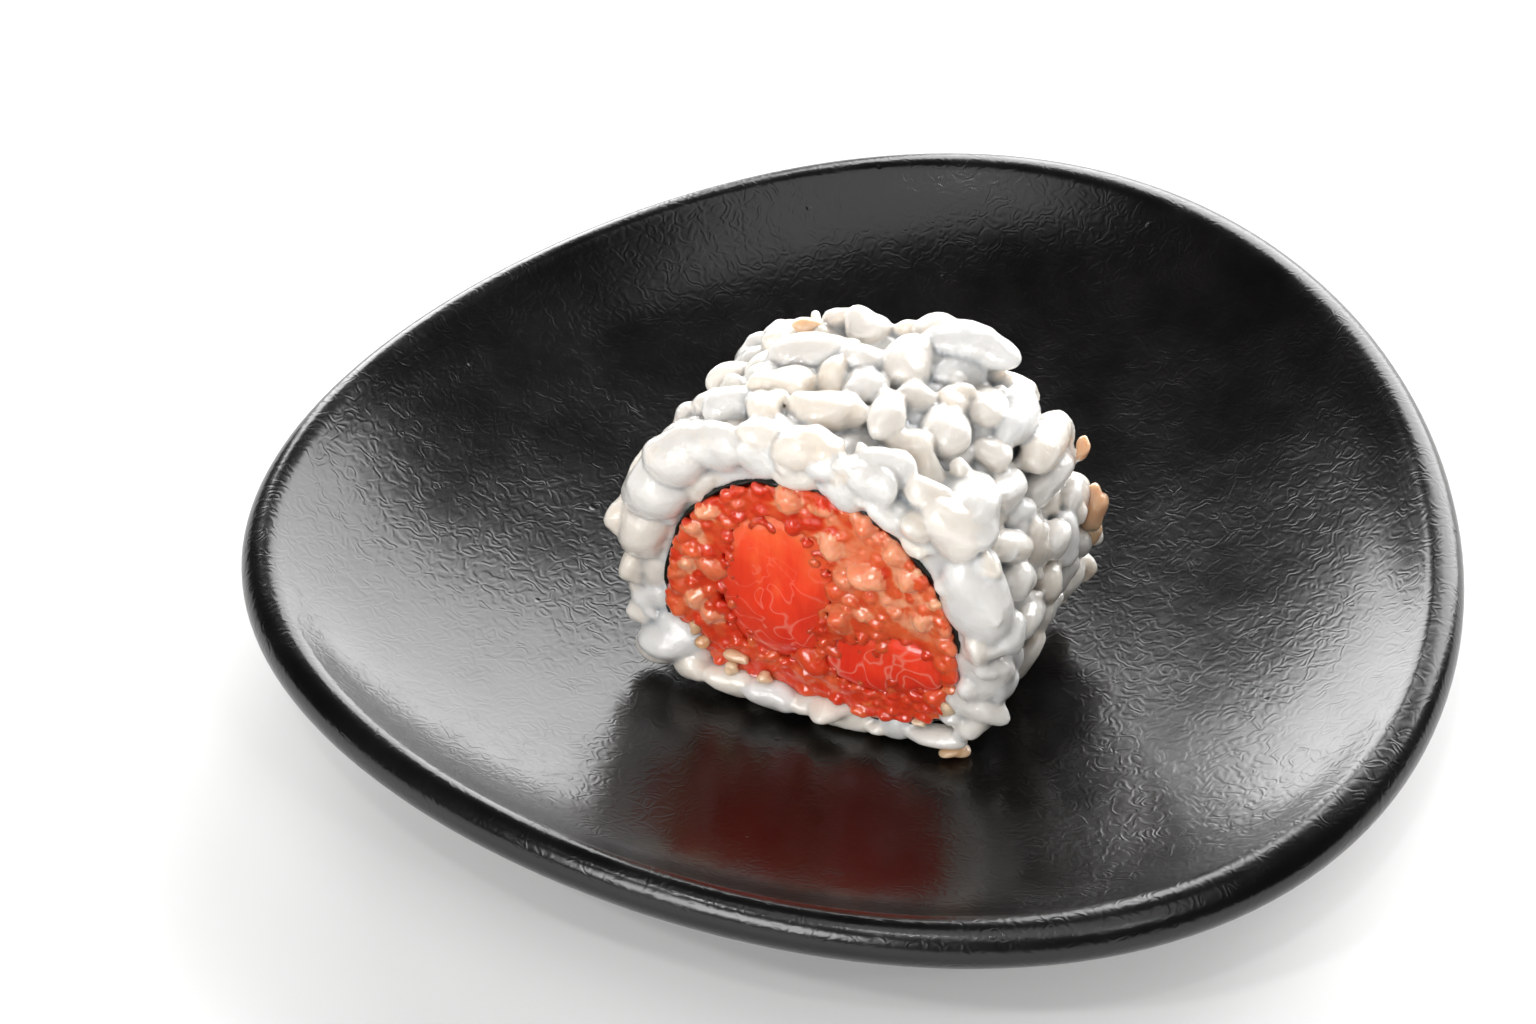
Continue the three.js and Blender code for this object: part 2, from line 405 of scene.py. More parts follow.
def hand_over(piece: bpy.types.Object, slot: str, material: bpy.types.Material, *nodes: str) -> None:
    """Dresses a finished piece, ties it to the frame and reports it.

    Args:
        piece: The finished piece.
        slot: Not used.
        material: The piece's material.
        *nodes: CAD nodes that the piece stands for.
    """
    piece.data.materials.clear()
    piece.data.materials.append(material)
    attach(piece, BODY)
    if nodes:
        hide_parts(*nodes)
    piece.data.calc_loop_triangles()
    LOG.info("%s: %d triangles", piece.name, len(piece.data.loop_triangles))


@dataclass(frozen=True)
class StonewareGlaze:
    """Black satin glaze on stoneware: soft broad reflections, broken by fine worm-like ridges and pits."""

    colour_thick: str = "#060606"
    colour_thin: str = "#0e0d0c"
    roughness: float = 0.23
    ridge_field: float = 1.6 * MM
    ridge_lines: float = 4.5
    ridge_height: float = 0.028 * MM
    patch: float = 9 * MM
    pit_spacing: float = 7 * MM

    def build(self) -> bpy.types.Material:
        """Builds the glaze material."""
        material, tree, place = start_material("satin_black_stoneware_glaze")
        field_noise = add_node(tree, "ShaderNodeTexNoise", {
            "Vector": place, "Scale": 1 / self.ridge_field, "Detail": 1.0, "Roughness": 0.5,
            "Distortion": 0.5})
        phase = add_node(tree, "ShaderNodeMath", {
            0: field_noise.outputs["Fac"], 1: 2 * math.pi * self.ridge_lines}, operation="MULTIPLY")
        ridge = add_node(tree, "ShaderNodeMath", {0: phase.outputs[0]}, operation="SINE")
        patches = add_node(tree, "ShaderNodeTexNoise", {
            "Vector": place, "Scale": 1 / self.patch, "Detail": 3.0, "Roughness": 0.6})
        uneven = add_node(tree, "ShaderNodeMapRange", {
            "Value": patches.outputs["Fac"], "From Min": 0.35, "From Max": 0.65,
            "To Min": 0.35, "To Max": 1.0})
        relief = add_node(tree, "ShaderNodeMath", {
            0: ridge.outputs[0], 1: uneven.outputs[0]}, operation="MULTIPLY")
        pits = add_node(tree, "ShaderNodeTexVoronoi", {"Vector": place, "Scale": 1 / self.pit_spacing})
        pit = add_node(tree, "ShaderNodeMapRange", {
            "Value": pits.outputs["Distance"], "From Min": 0.02, "From Max": 0.05,
            "To Min": -6.0, "To Max": 0.0})
        height = add_node(tree, "ShaderNodeMath", {0: relief.outputs[0], 1: pit.outputs[0]}, operation="ADD")
        bump = add_node(tree, "ShaderNodeBump", {
            "Height": height.outputs[0], "Strength": 0.27, "Distance": self.ridge_height})
        gloss = add_node(tree, "ShaderNodeMapRange", {
            "Value": patches.outputs["Fac"], "From Min": 0.3, "From Max": 0.7,
            "To Min": self.roughness - 0.04, "To Max": self.roughness + 0.05})
        colour = ramp(tree, patches.outputs["Fac"], (0.3, self.colour_thick), (0.8, self.colour_thin))
        return finish_surface(material, {
            "Base Color": colour, "Roughness": gloss.outputs[0], "IOR": 1.5,
            "Normal": bump.outputs["Normal"]})


@dataclass(frozen=True)
class CookedRice:
    """Steamed short-grain rice: waxy white grains that let light in, wet, with painted blue-grey shade in the
    hollows between them.
    """

    name: str = "steamed_rice"
    colour_warm: str = "#e6dccf"
    colour_plain: str = "#d9d8d6"
    # Painted shade: the blue-grey that the hollows between the grains are painted with
    colour_deep: str = "#75808a"
    depth_of_light: float = 2.0 * MM
    wrinkle: float = 0.9 * MM
    wrinkle_height: float = 0.1 * MM
    film: float = 0.35 * MM
    film_height: float = 0.11 * MM

    def build(self) -> bpy.types.Material:
        """Builds the rice material, which reads each grain's tone and the painted shade of the hollows."""
        material, tree, place = start_material(self.name)
        tone = add_node(tree, "ShaderNodeAttribute", attribute_name="grain_tone").outputs["Fac"]
        hollow_shade = add_node(tree, "ShaderNodeAttribute", attribute_name="painted_hollow_shade").outputs["Fac"]
        grain = ramp(tree, tone, (0.0, self.colour_plain), (1.0, self.colour_warm))
        # Painted shade: the hollows are mixed towards the blue-grey shade colour
        shaded = add_node(tree, "ShaderNodeMix", {
            "Factor": hollow_shade, "A": grain, "B": linear(self.colour_deep)}, data_type="RGBA")
        wrinkles = add_node(tree, "ShaderNodeTexNoise", {
            "Vector": place, "Scale": 1 / self.wrinkle, "Detail": 2.0, "Distortion": 0.8})
        soft = add_node(tree, "ShaderNodeBump", {
            "Height": wrinkles.outputs["Fac"], "Strength": 0.6, "Distance": self.wrinkle_height})
        film = add_node(tree, "ShaderNodeTexNoise", {
            "Vector": place, "Scale": 1 / self.film, "Detail": 2.0, "Distortion": 1.2})
        wet = add_node(tree, "ShaderNodeBump", {
            "Height": film.outputs["Fac"], "Strength": 0.6, "Distance": self.film_height,
            "Normal": soft.outputs["Normal"]})
        return finish_surface(material, {
            "Base Color": shaded.outputs["Result"], "Roughness": 0.34, "IOR": 1.42,
            "Subsurface Weight": 1.0, "Subsurface Radius": (1.0, 0.95, 0.9),
            "Subsurface Scale": self.depth_of_light, "Coat Weight": 1.0, "Coat Roughness": 0.05,
            "Coat IOR": 1.6,
            "Normal": soft.outputs["Normal"], "Coat Normal": wet.outputs["Normal"]})


@dataclass(frozen=True)
class RawSalmon:
    """Raw salmon cut across: wet red-orange flesh with paler fibres and fine pale membranes."""

    colour_deep: str = "#df2c1e"
    colour_flesh: str = "#f5492a"
    colour_pale: str = "#ff7a44"
    colour_membrane: str = "#f4a893"
    depth_of_light: float = 2.4 * MM
    fibre: float = 1.6 * MM
    membrane: float = 6 * MM
    red_below: float = 15 * MM
    orange_above: float = 30 * MM

    def build(self) -> bpy.types.Material:
        """Builds the salmon material, redder and webbed low down and more orange higher up."""
        material, tree, place = start_material("raw_salmon_flesh")
        turned = add_node(tree, "ShaderNodeMapping", {
            "Vector": place, "Rotation": (0.2, 0.9, math.radians(29)), "Scale": (1.0, 0.5, 0.28)})
        fibres = add_node(tree, "ShaderNodeTexNoise", {
            "Vector": turned.outputs[0], "Scale": 1 / self.fibre, "Detail": 4.0, "Roughness": 0.55,
            "Distortion": 0.6})
        height = add_node(tree, "ShaderNodeSeparateXYZ", {"Vector": place}).outputs["Z"]
        rise = add_node(tree, "ShaderNodeMapRange", {
            "Value": height, "From Min": self.red_below, "From Max": self.orange_above,
            "To Min": 0.05, "To Max": 0.45})
        tone = add_node(tree, "ShaderNodeMath", {
            0: fibres.outputs["Fac"], 1: 0.6, 2: rise.outputs[0]}, operation="MULTIPLY_ADD")
        flesh = ramp(tree, tone.outputs[0], (0.2, self.colour_deep), (0.55, self.colour_flesh),
                     (0.9, self.colour_pale))
        webs = add_node(tree, "ShaderNodeTexNoise", {
            "Vector": place, "Scale": 1 / self.membrane, "Detail": 1.0, "Distortion": 2.2})
        off_line = add_node(tree, "ShaderNodeMath", {0: webs.outputs["Fac"], 1: 0.5}, operation="SUBTRACT")
        distance = add_node(tree, "ShaderNodeMath", {0: off_line.outputs[0]}, operation="ABSOLUTE")
        faint = add_node(tree, "ShaderNodeMapRange", {
            "Value": distance.outputs[0], "From Min": 0.0, "From Max": 0.03, "To Min": 1.0, "To Max": 0.0},
            interpolation_type="SMOOTHSTEP")
        low_down = add_node(tree, "ShaderNodeMapRange", {
            "Value": height, "From Min": self.red_below, "From Max": self.orange_above,
            "To Min": 0.5, "To Max": 0.0})
        web = add_node(tree, "ShaderNodeMath", {
            0: faint.outputs[0], 1: low_down.outputs[0]}, operation="MULTIPLY")
        colour = add_node(tree, "ShaderNodeMix", {
            "Factor": web.outputs[0], "A": flesh, "B": linear(self.colour_membrane)}, data_type="RGBA")
        bump = add_node(tree, "ShaderNodeBump", {
            "Height": fibres.outputs["Fac"], "Strength": 0.5, "Distance": 0.12 * MM})
        return finish_surface(material, {
            "Base Color": colour.outputs["Result"], "Roughness": 0.3, "IOR": 1.42,
            "Subsurface Weight": 0.7, "Subsurface Radius": (1.0, 0.32, 0.2),
            "Subsurface Scale": self.depth_of_light, "Coat Weight": 0.5, "Coat Roughness": 0.08,
            "Normal": bump.outputs["Normal"]})


@dataclass(frozen=True)
class ChoppedSalmon:
    """Chopped salmon with roe: moist beads from red-orange to clear peach, glinting all over."""

    colour_red: str = "#d03a1c"
    colour_orange: str = "#dc6236"
    colour_peach: str = "#ebaa84"
    depth_of_light: float = 1.7 * MM
    roe: float = 0.5 * MM
    roe_height: float = 0.16 * MM
    patch: float = 2 * MM

    def build(self) -> bpy.types.Material:
        """Builds the chopped salmon material, which reads each bead's tone."""
        material, tree, place = start_material("chopped_salmon_and_roe")
        tone = add_node(tree, "ShaderNodeAttribute", attribute_name="bead_tone").outputs["Fac"]
        mottle = add_node(tree, "ShaderNodeTexNoise", {
            "Vector": place, "Scale": 1 / self.patch, "Detail": 3.0, "Roughness": 0.6})
        mixed = add_node(tree, "ShaderNodeMath", {
            0: mottle.outputs["Fac"], 1: 0.5, 2: tone}, operation="MULTIPLY_ADD")
        shifted = add_node(tree, "ShaderNodeMath", {0: mixed.outputs[0], 1: 0.25}, operation="SUBTRACT")
        colour = ramp(tree, shifted.outputs[0], (0.05, self.colour_red), (0.45, self.colour_orange),
                      (0.95, self.colour_peach))
        roe = add_node(tree, "ShaderNodeTexVoronoi", {"Vector": place, "Scale": 1 / self.roe},
                       feature="SMOOTH_F1")
        bump = add_node(tree, "ShaderNodeBump", {
            "Height": roe.outputs["Distance"], "Strength": 0.7, "Distance": self.roe_height}, invert=True)
        return finish_surface(material, {
            "Base Color": colour, "Roughness": 0.28, "IOR": 1.4,
            "Subsurface Weight": 0.75, "Subsurface Radius": (1.0, 0.4, 0.24),
            "Subsurface Scale": self.depth_of_light, "Coat Weight": 0.8, "Coat Roughness": 0.04,
            "Normal": bump.outputs["Normal"]})


@dataclass(frozen=True)
class DampNori:
    """Pressed seaweed sheet, damp: near black with a green cast, a dull sheen and a fibrous face."""

    colour_dark: str = "#060806"
    colour_light: str = "#141a13"
    fibre: float = 0.5 * MM

    def build(self) -> bpy.types.Material:
        """Builds the nori material."""
        material, tree, place = start_material("damp_nori")
        fibres = add_node(tree, "ShaderNodeTexNoise", {
            "Vector": place, "Scale": 1 / self.fibre, "Detail": 4.0, "Roughness": 0.65, "Distortion": 1.0})
        bump = add_node(tree, "ShaderNodeBump", {
            "Height": fibres.outputs["Fac"], "Strength": 0.6, "Distance": 0.06 * MM})
        colour = ramp(tree, fibres.outputs["Fac"], (0.35, self.colour_dark), (0.7, self.colour_light))
        return finish_surface(material, {
            "Base Color": colour, "Roughness": 0.38, "IOR": 1.45, "Normal": bump.outputs["Normal"]})


@dataclass(frozen=True)
class StudioFloor:
    """Seamless pale board: matt, with the faintest mottle."""

    colour_low: str = "#f4f4f3"
    colour_high: str = "#fbfbfa"
    patch: float = 60 * MM

    def build(self) -> bpy.types.Material:
        """Builds the floor material."""
        material, tree, place = start_material("matt_pale_board")
        mottle = add_node(tree, "ShaderNodeTexNoise", {
            "Vector": place, "Scale": 1 / self.patch, "Detail": 3.0})
        return finish_surface(material, {
            "Base Color": ramp(tree, mottle.outputs["Fac"], (0.3, self.colour_low), (0.7, self.colour_high)),
            "Roughness": 0.9, "Specular IOR Level": 0.2})


@dataclass
class Dish:
    """Shallow egg-shaped dish with a round lip and a foot ring."""

    length: float = 112 * MM
    width: float = 105 * MM
    rim_height: float = 17.5 * MM
    floor_top: float = 5.5 * MM
    egg_share: float = 0.198
    lip_radius: float = 2.3 * MM
    lip_starts: float = math.radians(130)
    lip_ends: float = math.radians(-50)
    rim_power: float = 10
    foot_radius: float = 26.5 * MM
    foot_width: float = 4 * MM
    foot_height: float = 3.4 * MM
    foot_draft: float = 1 * MM
    foot_rounding: float = 0.5 * MM
    underside: float = 1.6 * MM
    wall_belly: tuple[float, float] = (47 * MM, 8 * MM)
    segments: int = 168
    bowl_rings: int = 40
    lip_rings: int = 16
    wall_rings: int = 16
    first_ring: float = 0.6 * MM

    def __post_init__(self) -> None:
        """Works out the egg's half sizes and the bowl's curve."""
        share = self.egg_share
        along = (math.sqrt(1 + 8 * share ** 2) - 1) / (4 * share)
        bulge = math.sqrt(1 - along ** 2) * (1 + share * along)
        self.half_length = self.length / 2
        self.half_width = self.width / 2 / bulge
        self.bowl_radius, bowl_edge = self.lip_point(self.lip_starts)
        depth = bowl_edge - self.floor_top
        slope = math.tan(self.lip_starts - math.pi / 2)
        self.rim_rise = (slope * self.bowl_radius - 2 * depth) / (self.rim_power - 2)
        self.bowl_depth = depth - self.rim_rise

    def lip_point(self, angle: float) -> tuple[float, float]:
        """Gives a point of the round lip as radius and height."""
        return (self.half_length + self.lip_radius * (math.cos(angle) - 1),
                self.rim_height + self.lip_radius * (math.sin(angle) - 1))

    def bowl_height(self, radius: Array | float) -> Array | float:
        """Gives the height of the bowl at a radius of the round dish that the egg is drawn from."""
        share = radius / self.bowl_radius
        return self.floor_top + self.bowl_depth * share ** 2 + self.rim_rise * share ** self.rim_power

    def height(self, x: Array, y: Array) -> Array:
        """Gives the height of the dish's upper face at places in plan."""
        along = x / self.half_length
        across = y / (self.half_width * (1 + self.egg_share * along))
        return self.bowl_height(self.half_length * np.hypot(along, across))

    def rings(self) -> list[tuple[float, float]]:
        """Lists the rings of the dish as radius and height, from the bowl's middle to the underside's."""
        bowl = np.linspace(self.first_ring, self.bowl_radius, self.bowl_rings, endpoint=False)
        lip = np.linspace(self.lip_starts, self.lip_ends, self.lip_rings)
        rings = [(radius, self.bowl_height(radius)) for radius in bowl]
        rings += [self.lip_point(angle) for angle in lip]
        start, belly = np.array(rings[-1]), np.array(self.wall_belly)
        end = np.array([self.foot_radius + self.foot_draft, self.foot_height])
        for share in np.linspace(0, 1, self.wall_rings + 1)[1:]:
            rings.append(tuple((1 - share) ** 2 * start + 2 * share * (1 - share) * belly + share ** 2 * end))
        inner = self.foot_radius - self.foot_width
        rings += [(self.foot_radius + self.foot_rounding / 4, self.foot_rounding),
                  (self.foot_radius - self.foot_rounding, 0.0),
                  (inner + self.foot_rounding, 0.0),
                  (inner - self.foot_rounding / 4, self.foot_rounding),
                  (inner - self.foot_draft, self.underside),
                  (inner / 2, self.underside),
                  (self.first_ring, self.underside)]
        return rings

    def build(self) -> bpy.types.Object:
        """Models the dish ring by ring from a circle, then draws it out to its egg outline.

        Returns:
            The dish.
        """
        dish = turned_piece("glazed_dish", self.rings(), self.segments, is_capped=True)
        points = points_of(dish)
        along = points[:, 0] / self.half_length
        points[:, 1] *= self.half_width / self.half_length * (1 + self.egg_share * along)
        move_points(dish, points)
        shade_smooth(dish)
        return dish

    def dress(self) -> None:
        """Builds the dish with its glaze."""
        hand_over(self.build(), "stoneware", StonewareGlaze().build(), "dish")


@dataclass(frozen=True)
class Arch:
    """An outline on the cut face, with a round top over a squarer foot."""

    across: float
    foot: float
    width: float
    height: float
    waist: float
    top_power: float
    foot_power: float

    def points(self, turn: Array, inset: Array | float = 0.0) -> Array:
        """Gives points of the outline.

        Args:
            turn: Shares of one turn round the outline.
            inset: How far inside the outline the points lie.

        Returns:
            Places across and up, one per row.
        """
        angle = 2 * np.pi * turn
        is_top = np.sin(angle) >= 0
        power = np.where(is_top, self.top_power, self.foot_power)
        rise = np.where(is_top, self.height - self.waist, self.waist) - inset
        return np.stack([
            self.across + (self.width / 2 - inset) * signed_power(np.cos(angle), power),
            self.foot + self.waist + rise * signed_power(np.sin(angle), power)], axis=-1)

    def even_turn(self, share: Array) -> Array:
        """Turns shares of the outline's length into shares of a turn."""
        turn = np.linspace(0, 1, 721)
        steps = np.linalg.norm(np.diff(self.points(turn), axis=0), axis=1)
        walked = np.concatenate([[0], np.cumsum(steps)])
        return np.interp(np.mod(share, 1) * walked[-1], walked, turn)

    def holds(self, places: Array, inset: float = 0.0) -> Array:
        """Says which places across and up lie inside the outline."""
        across = np.abs(places[..., 0] - self.across) / (self.width / 2 - inset)
        up = places[..., 1] - self.foot - self.waist
        rise = np.where(up >= 0, self.height - self.waist, self.waist) - inset
        power = np.where(up >= 0, self.top_power, self.foot_power)
        return across ** power + (np.abs(up) / rise) ** power <= 1


@dataclass
class Roll:
    """Where the roll lies in the dish, and its outlines on the cut face."""

    dish: Dish
    front: tuple[float, float] = (-6 * MM, -15.6 * MM)
    yaw: float = math.radians(-29)
    length: float = 21.5 * MM
    back_share: float = 0.94
    back_shift: float = 1 * MM
    settle_height: float = 8 * MM
    gap: float = 0.3 * MM
    rice: Arch = Arch(0.8 * MM, 0.0, 38.5 * MM, 34.8 * MM, 16.5 * MM, 2.2, 2.8)
    nori: Arch = Arch(1.1 * MM, 2.4 * MM, 28.8 * MM, 27.5 * MM, 9.8 * MM, 2.1, 3.0)

    def place(self, local: Array) -> Array:
        """Moves points from the roll's own frame into the dish.

        The roll narrows towards its back, and its foot takes up the dish's curve.

        Args:
            local: Places across, along and up, one per row.

        Returns:
            Places in the frame of the model.
        """
        share = local[:, 1] / self.length
        narrow = 1 + (self.back_share - 1) * share
        across = local[:, 0] * narrow + self.back_shift * share
        up = np.maximum(0, local[:, 2] * narrow)
        cos, sin = math.cos(self.yaw), math.sin(self.yaw)
        x = self.front[0] + across * cos - local[:, 1] * sin
        y = self.front[1] + across * sin + local[:, 1] * cos
        rest = self.dish.height(x, y) - self.dish.floor_top + self.gap
        settled = up + rest * np.maximum(0, 1 - up / self.settle_height)
        return np.stack([x, y, self.dish.floor_top + settled], axis=-1)

    def sleeve(self, name: str, inner: Callable[[Array], Array], outer: Callable[[Array], Array],
               ends: tuple[float, float], around: int, steps: int) -> bpy.types.Object:
        """Models a closed sleeve between two outlines, in the roll's own frame.

        Args:
            name: Name of the piece.
            inner: Gives the inner outline's points from shares of a turn.
            outer: Gives the outer outline's points from shares of a turn.
            ends: Where the sleeve starts and ends along the roll.
            around: Number of faces round the roll.
            steps: Number of faces along the roll.

        Returns:
            The sleeve.
        """
        along = np.linspace(*ends, steps + 1)
        rings = [(2 * MM, y) for y in along] + [(MM, y) for y in along[::-1]] + [(2 * MM, along[0])]
        piece = turned_piece(name, rings, around, is_capped=False)
        round_points = points_of(piece)
        turn = np.arctan2(round_points[:, 1], round_points[:, 0]) / (2 * np.pi) % 1
        share = (np.hypot(round_points[:, 0], round_points[:, 1]) / MM - 1)[:, None]
        flat = (1 - share) * inner(turn) + share * outer(turn)
        move_points(piece, np.stack([flat[:, 0], round_points[:, 2], flat[:, 1]], axis=-1))
        return piece


@dataclass(frozen=True)
class Kernel:
    """One rounded bit, such as a grain of rice or a bead of salmon, in the roll's own frame."""

    centre: Array
    axes: Array
    half: Array
    tone: float
    bend: float = 0.0
    taper: float = 0.0
    lump: float = 0.06
    phase: float = 0.0
    fullness: float = 2.3
    bend_level: float = 0.4

    def spine(self) -> Array:
        """Gives points along the middle of the bit, to keep neighbours apart."""
        reach = max(self.half[0] - self.half[1], 0.0)
        return self.centre + np.linspace(-1, 1, 5)[:, None] * reach * self.axes[0]

    def shape(self, ball: Array) -> Array:
        """Shapes a unit ball into this bit.

        Args:
            ball: Points of a ball of radius 1.

        Returns:
            The bit's points in the roll's own frame.
        """
        along, wide, thick = ball.T
        waves = np.sin(3.1 * along + 2.3 * wide + self.phase)
        waves += np.sin(2.7 * thick - 3.7 * along + 2 * self.phase)
        swell = 1 + self.lump * waves
        narrow = (1 + self.taper * along) * swell
        full = signed_power(along, self.fullness)
        bent = wide + self.bend * (along ** 2 - self.bend_level)
        shaped = np.stack([full * swell, bent * narrow, thick * narrow], axis=-1)
        return self.centre + (shaped * self.half) @ self.axes


@dataclass
class Bed:
    """Bits laid one by one, each where it has room among its neighbours."""

    spacing: float
    kernels: list[Kernel] = field(default_factory=list)
    spines: list[Array] = field(default_factory=list)
    widths: list[float] = field(default_factory=list)

    def lay(self, kernel: Kernel) -> None:
        """Adds a bit if it keeps its distance from the others."""
        spine = kernel.spine()
        width = float(kernel.half[1])
        if self.kernels:
            away = np.array(self.spines)[:, :, None] - spine[None, None]
            near = np.sqrt(np.sum(away ** 2, axis=-1).min(axis=(1, 2)))
            if np.any(near < self.spacing * (np.array(self.widths) + width)):
                return
        self.add(kernel)

    def add(self, kernel: Kernel) -> None:
        """Adds a bit wherever the others are."""
        self.kernels.append(kernel)
        self.spines.append(kernel.spine())
        self.widths.append(float(kernel.half[1]))


def melt_bits(name: str, tone_name: str, roll: Roll, bits: list[Kernel], fineness: int,
              body: bpy.types.Object, body_tone: float, voxel: float, smoothing: int) -> bpy.types.Object:
    """Melts bits and the body they lie on into one skin that keeps each bit's tone.

    Args:
        name: Name of the piece.
        tone_name: Name of the attribute that holds the tone.
        roll: The roll that the bits belong to.
        bits: The bits, in the roll's own frame.
        fineness: How often each bit's ball is divided.
        body: The body under the bits, in the frame of the model, which is used up.
        body_tone: The body's tone.
        voxel: Size of the skin's faces, in metres.
        smoothing: Rounds of smoothing over the creases.

    Returns:
        The piece.
    """
    LOG.info("%s: %d bits", name, len(bits))
    ball, triangles = unit_ball(fineness)
    shapes = [roll.place(bit.shape(ball)) for bit in bits]
    body_points = points_of(body)
    tones = np.repeat([bit.tone for bit in bits], len(ball))
    tones = np.concatenate([tones, np.full(len(body_points), body_tone)])
    piece = melt(name, shapes, triangles, body, voxel, smoothing)
    paint_nearest(piece, tone_name, np.concatenate(shapes + [body_points]), tones)
    return piece


# Length, width and thickness of a broken bit, as shares of its size
BROKEN_BIT = np.array([1.3, 1.0, 0.9])


def surface_axes(normal: Array, tangent: Array, heading: float, tilt: float) -> Array:
    """Turns a bit to lie on a surface.

    Args:
        normal: Direction out of the surface.
        tangent: A direction along the surface.
        heading: Turn of the bit's length within the surface.
        tilt: Tip of the bit's length out of the surface.

    Returns:
        The bit's long, wide and thick directions, one per row.
    """
    aside = np.cross(normal, tangent)
    long = math.cos(heading) * tangent + math.sin(heading) * aside
    long = math.cos(tilt) * long + math.sin(tilt) * normal
    wide = np.cross(normal, long)
    wide /= np.linalg.norm(wide)
    return np.stack([long, wide, np.cross(long, wide)])


class Side(Enum):
    """Sides of the roll, each with its direction out and its direction across, in the roll's own frame."""

    FRONT = ((0.0, -1.0, 0.0), (1.0, 0.0, 0.0))
    TOP = ((0.0, 0.0, 1.0), (1.0, 0.0, 0.0))
    RIGHT = ((1.0, 0.0, 0.0), (0.0, 1.0, 0.0))


@dataclass(frozen=True)
class PlacedGrain:
    """A grain, or a few run together, that the eye picks out; millimetres and degrees.

    The heading turns the length from the side's direction across, anticlockwise seen from outside.
    """

    side: Side
    across: float
    along: float
    up: float
    heading: float
    length: float
    width: float


# The clump over the upper left of the cut face, the foot grains under it and the masses to its right
FACE_GRAINS = (
    PlacedGrain(Side.FRONT, -15.2, -0.4, 19.0, 82, 8.6, 5.2),
    PlacedGrain(Side.FRONT, -13.9, -0.7, 24.2, 66, 8.4, 6.0),
    PlacedGrain(Side.FRONT, -11.4, -0.5, 28.9, 50, 7.4, 5.6),
    PlacedGrain(Side.FRONT, -8.2, -0.1, 31.0, 8, 6.6, 4.6),
    PlacedGrain(Side.FRONT, -14.8, 0.6, 13.4, 75, 4.6, 3.6),
    PlacedGrain(Side.FRONT, -15.0, 0.3, 9.8, 20, 4.0, 3.2),
    PlacedGrain(Side.FRONT, -12.9, 0.5, 10.9, 80, 3.6, 2.6),
    PlacedGrain(Side.FRONT, -3.9, 0.4, 31.2, -35, 5.2, 4.6),
    PlacedGrain(Side.FRONT, 2.5, 0.3, 32.4, 15, 4.2, 3.4),
    PlacedGrain(Side.FRONT, -12.7, -0.9, 5.6, 60, 7.2, 5.8),
    PlacedGrain(Side.FRONT, -14.0, -0.6, 3.2, 40, 4.8, 4.2),
    PlacedGrain(Side.FRONT, -10.2, -1.1, 2.6, 0, 4.6, 3.8),
    PlacedGrain(Side.FRONT, -6.3, -1.2, 2.4, -10, 5.6, 3.6),
    PlacedGrain(Side.FRONT, -2.5, -1.3, 2.3, -20, 5.0, 3.6),
    PlacedGrain(Side.FRONT, 0.8, -0.8, 2.2, 20, 3.8, 3.0),
    PlacedGrain(Side.FRONT, 16.0, 0.2, 22.0, -72, 10.5, 6.2),
    PlacedGrain(Side.FRONT, 13.6, 0.4, 29.2, -55, 6.2, 5.0),
    PlacedGrain(Side.FRONT, 16.8, 0.5, 13.2, 85, 6.8, 5.2),
    PlacedGrain(Side.FRONT, 13.2, -0.3, 2.4, 15, 6.5, 2.8),
    PlacedGrain(Side.FRONT, 16.6, -0.1, 6.4, 60, 3.8, 3.2),
)
# The grains that lie across the top, from the left to the right
TOP_GRAINS = (
    PlacedGrain(Side.TOP, -9.4, 5.9, 32.3, 40, 5.6, 4.6),
    PlacedGrain(Side.TOP, -6.1, 9.2, 33.6, 30, 6.2, 4.2),
    PlacedGrain(Side.TOP, -5.9, 14.4, 33.8, 18, 9.0, 5.0),
    PlacedGrain(Side.TOP, -0.6, 6.9, 34.6, 14, 7.4, 4.2),
    PlacedGrain(Side.TOP, 0.7, 1.6, 34.6, 20, 5.4, 3.8),
    PlacedGrain(Side.TOP, 2.9, 15.7, 34.8, 116, 6.6, 4.4),
    PlacedGrain(Side.TOP, 4.3, 8.7, 34.6, 112, 6.2, 3.4),
    PlacedGrain(Side.TOP, 7.0, 2.7, 33.8, 40, 5.4, 4.4),
    PlacedGrain(Side.TOP, 6.8, 20.4, 35.2, 2, 9.4, 4.4),
    PlacedGrain(Side.TOP, 3.4, 21.0, 35.0, 8, 5.2, 3.6),
    PlacedGrain(Side.TOP, 9.1, 10.5, 33.2, 110, 5.8, 4.6),
    PlacedGrain(Side.TOP, 10.8, 15.3, 32.4, 115, 5.0, 3.6),
    PlacedGrain(Side.TOP, 13.0, 17.0, 31.2, 100, 8.2, 4.0),
    PlacedGrain(Side.TOP, 13.6, 5.0, 30.6, -42, 10.0, 5.2),
    PlacedGrain(Side.TOP, 15.9, 17.6, 28.6, 98, 8.4, 4.2),
)
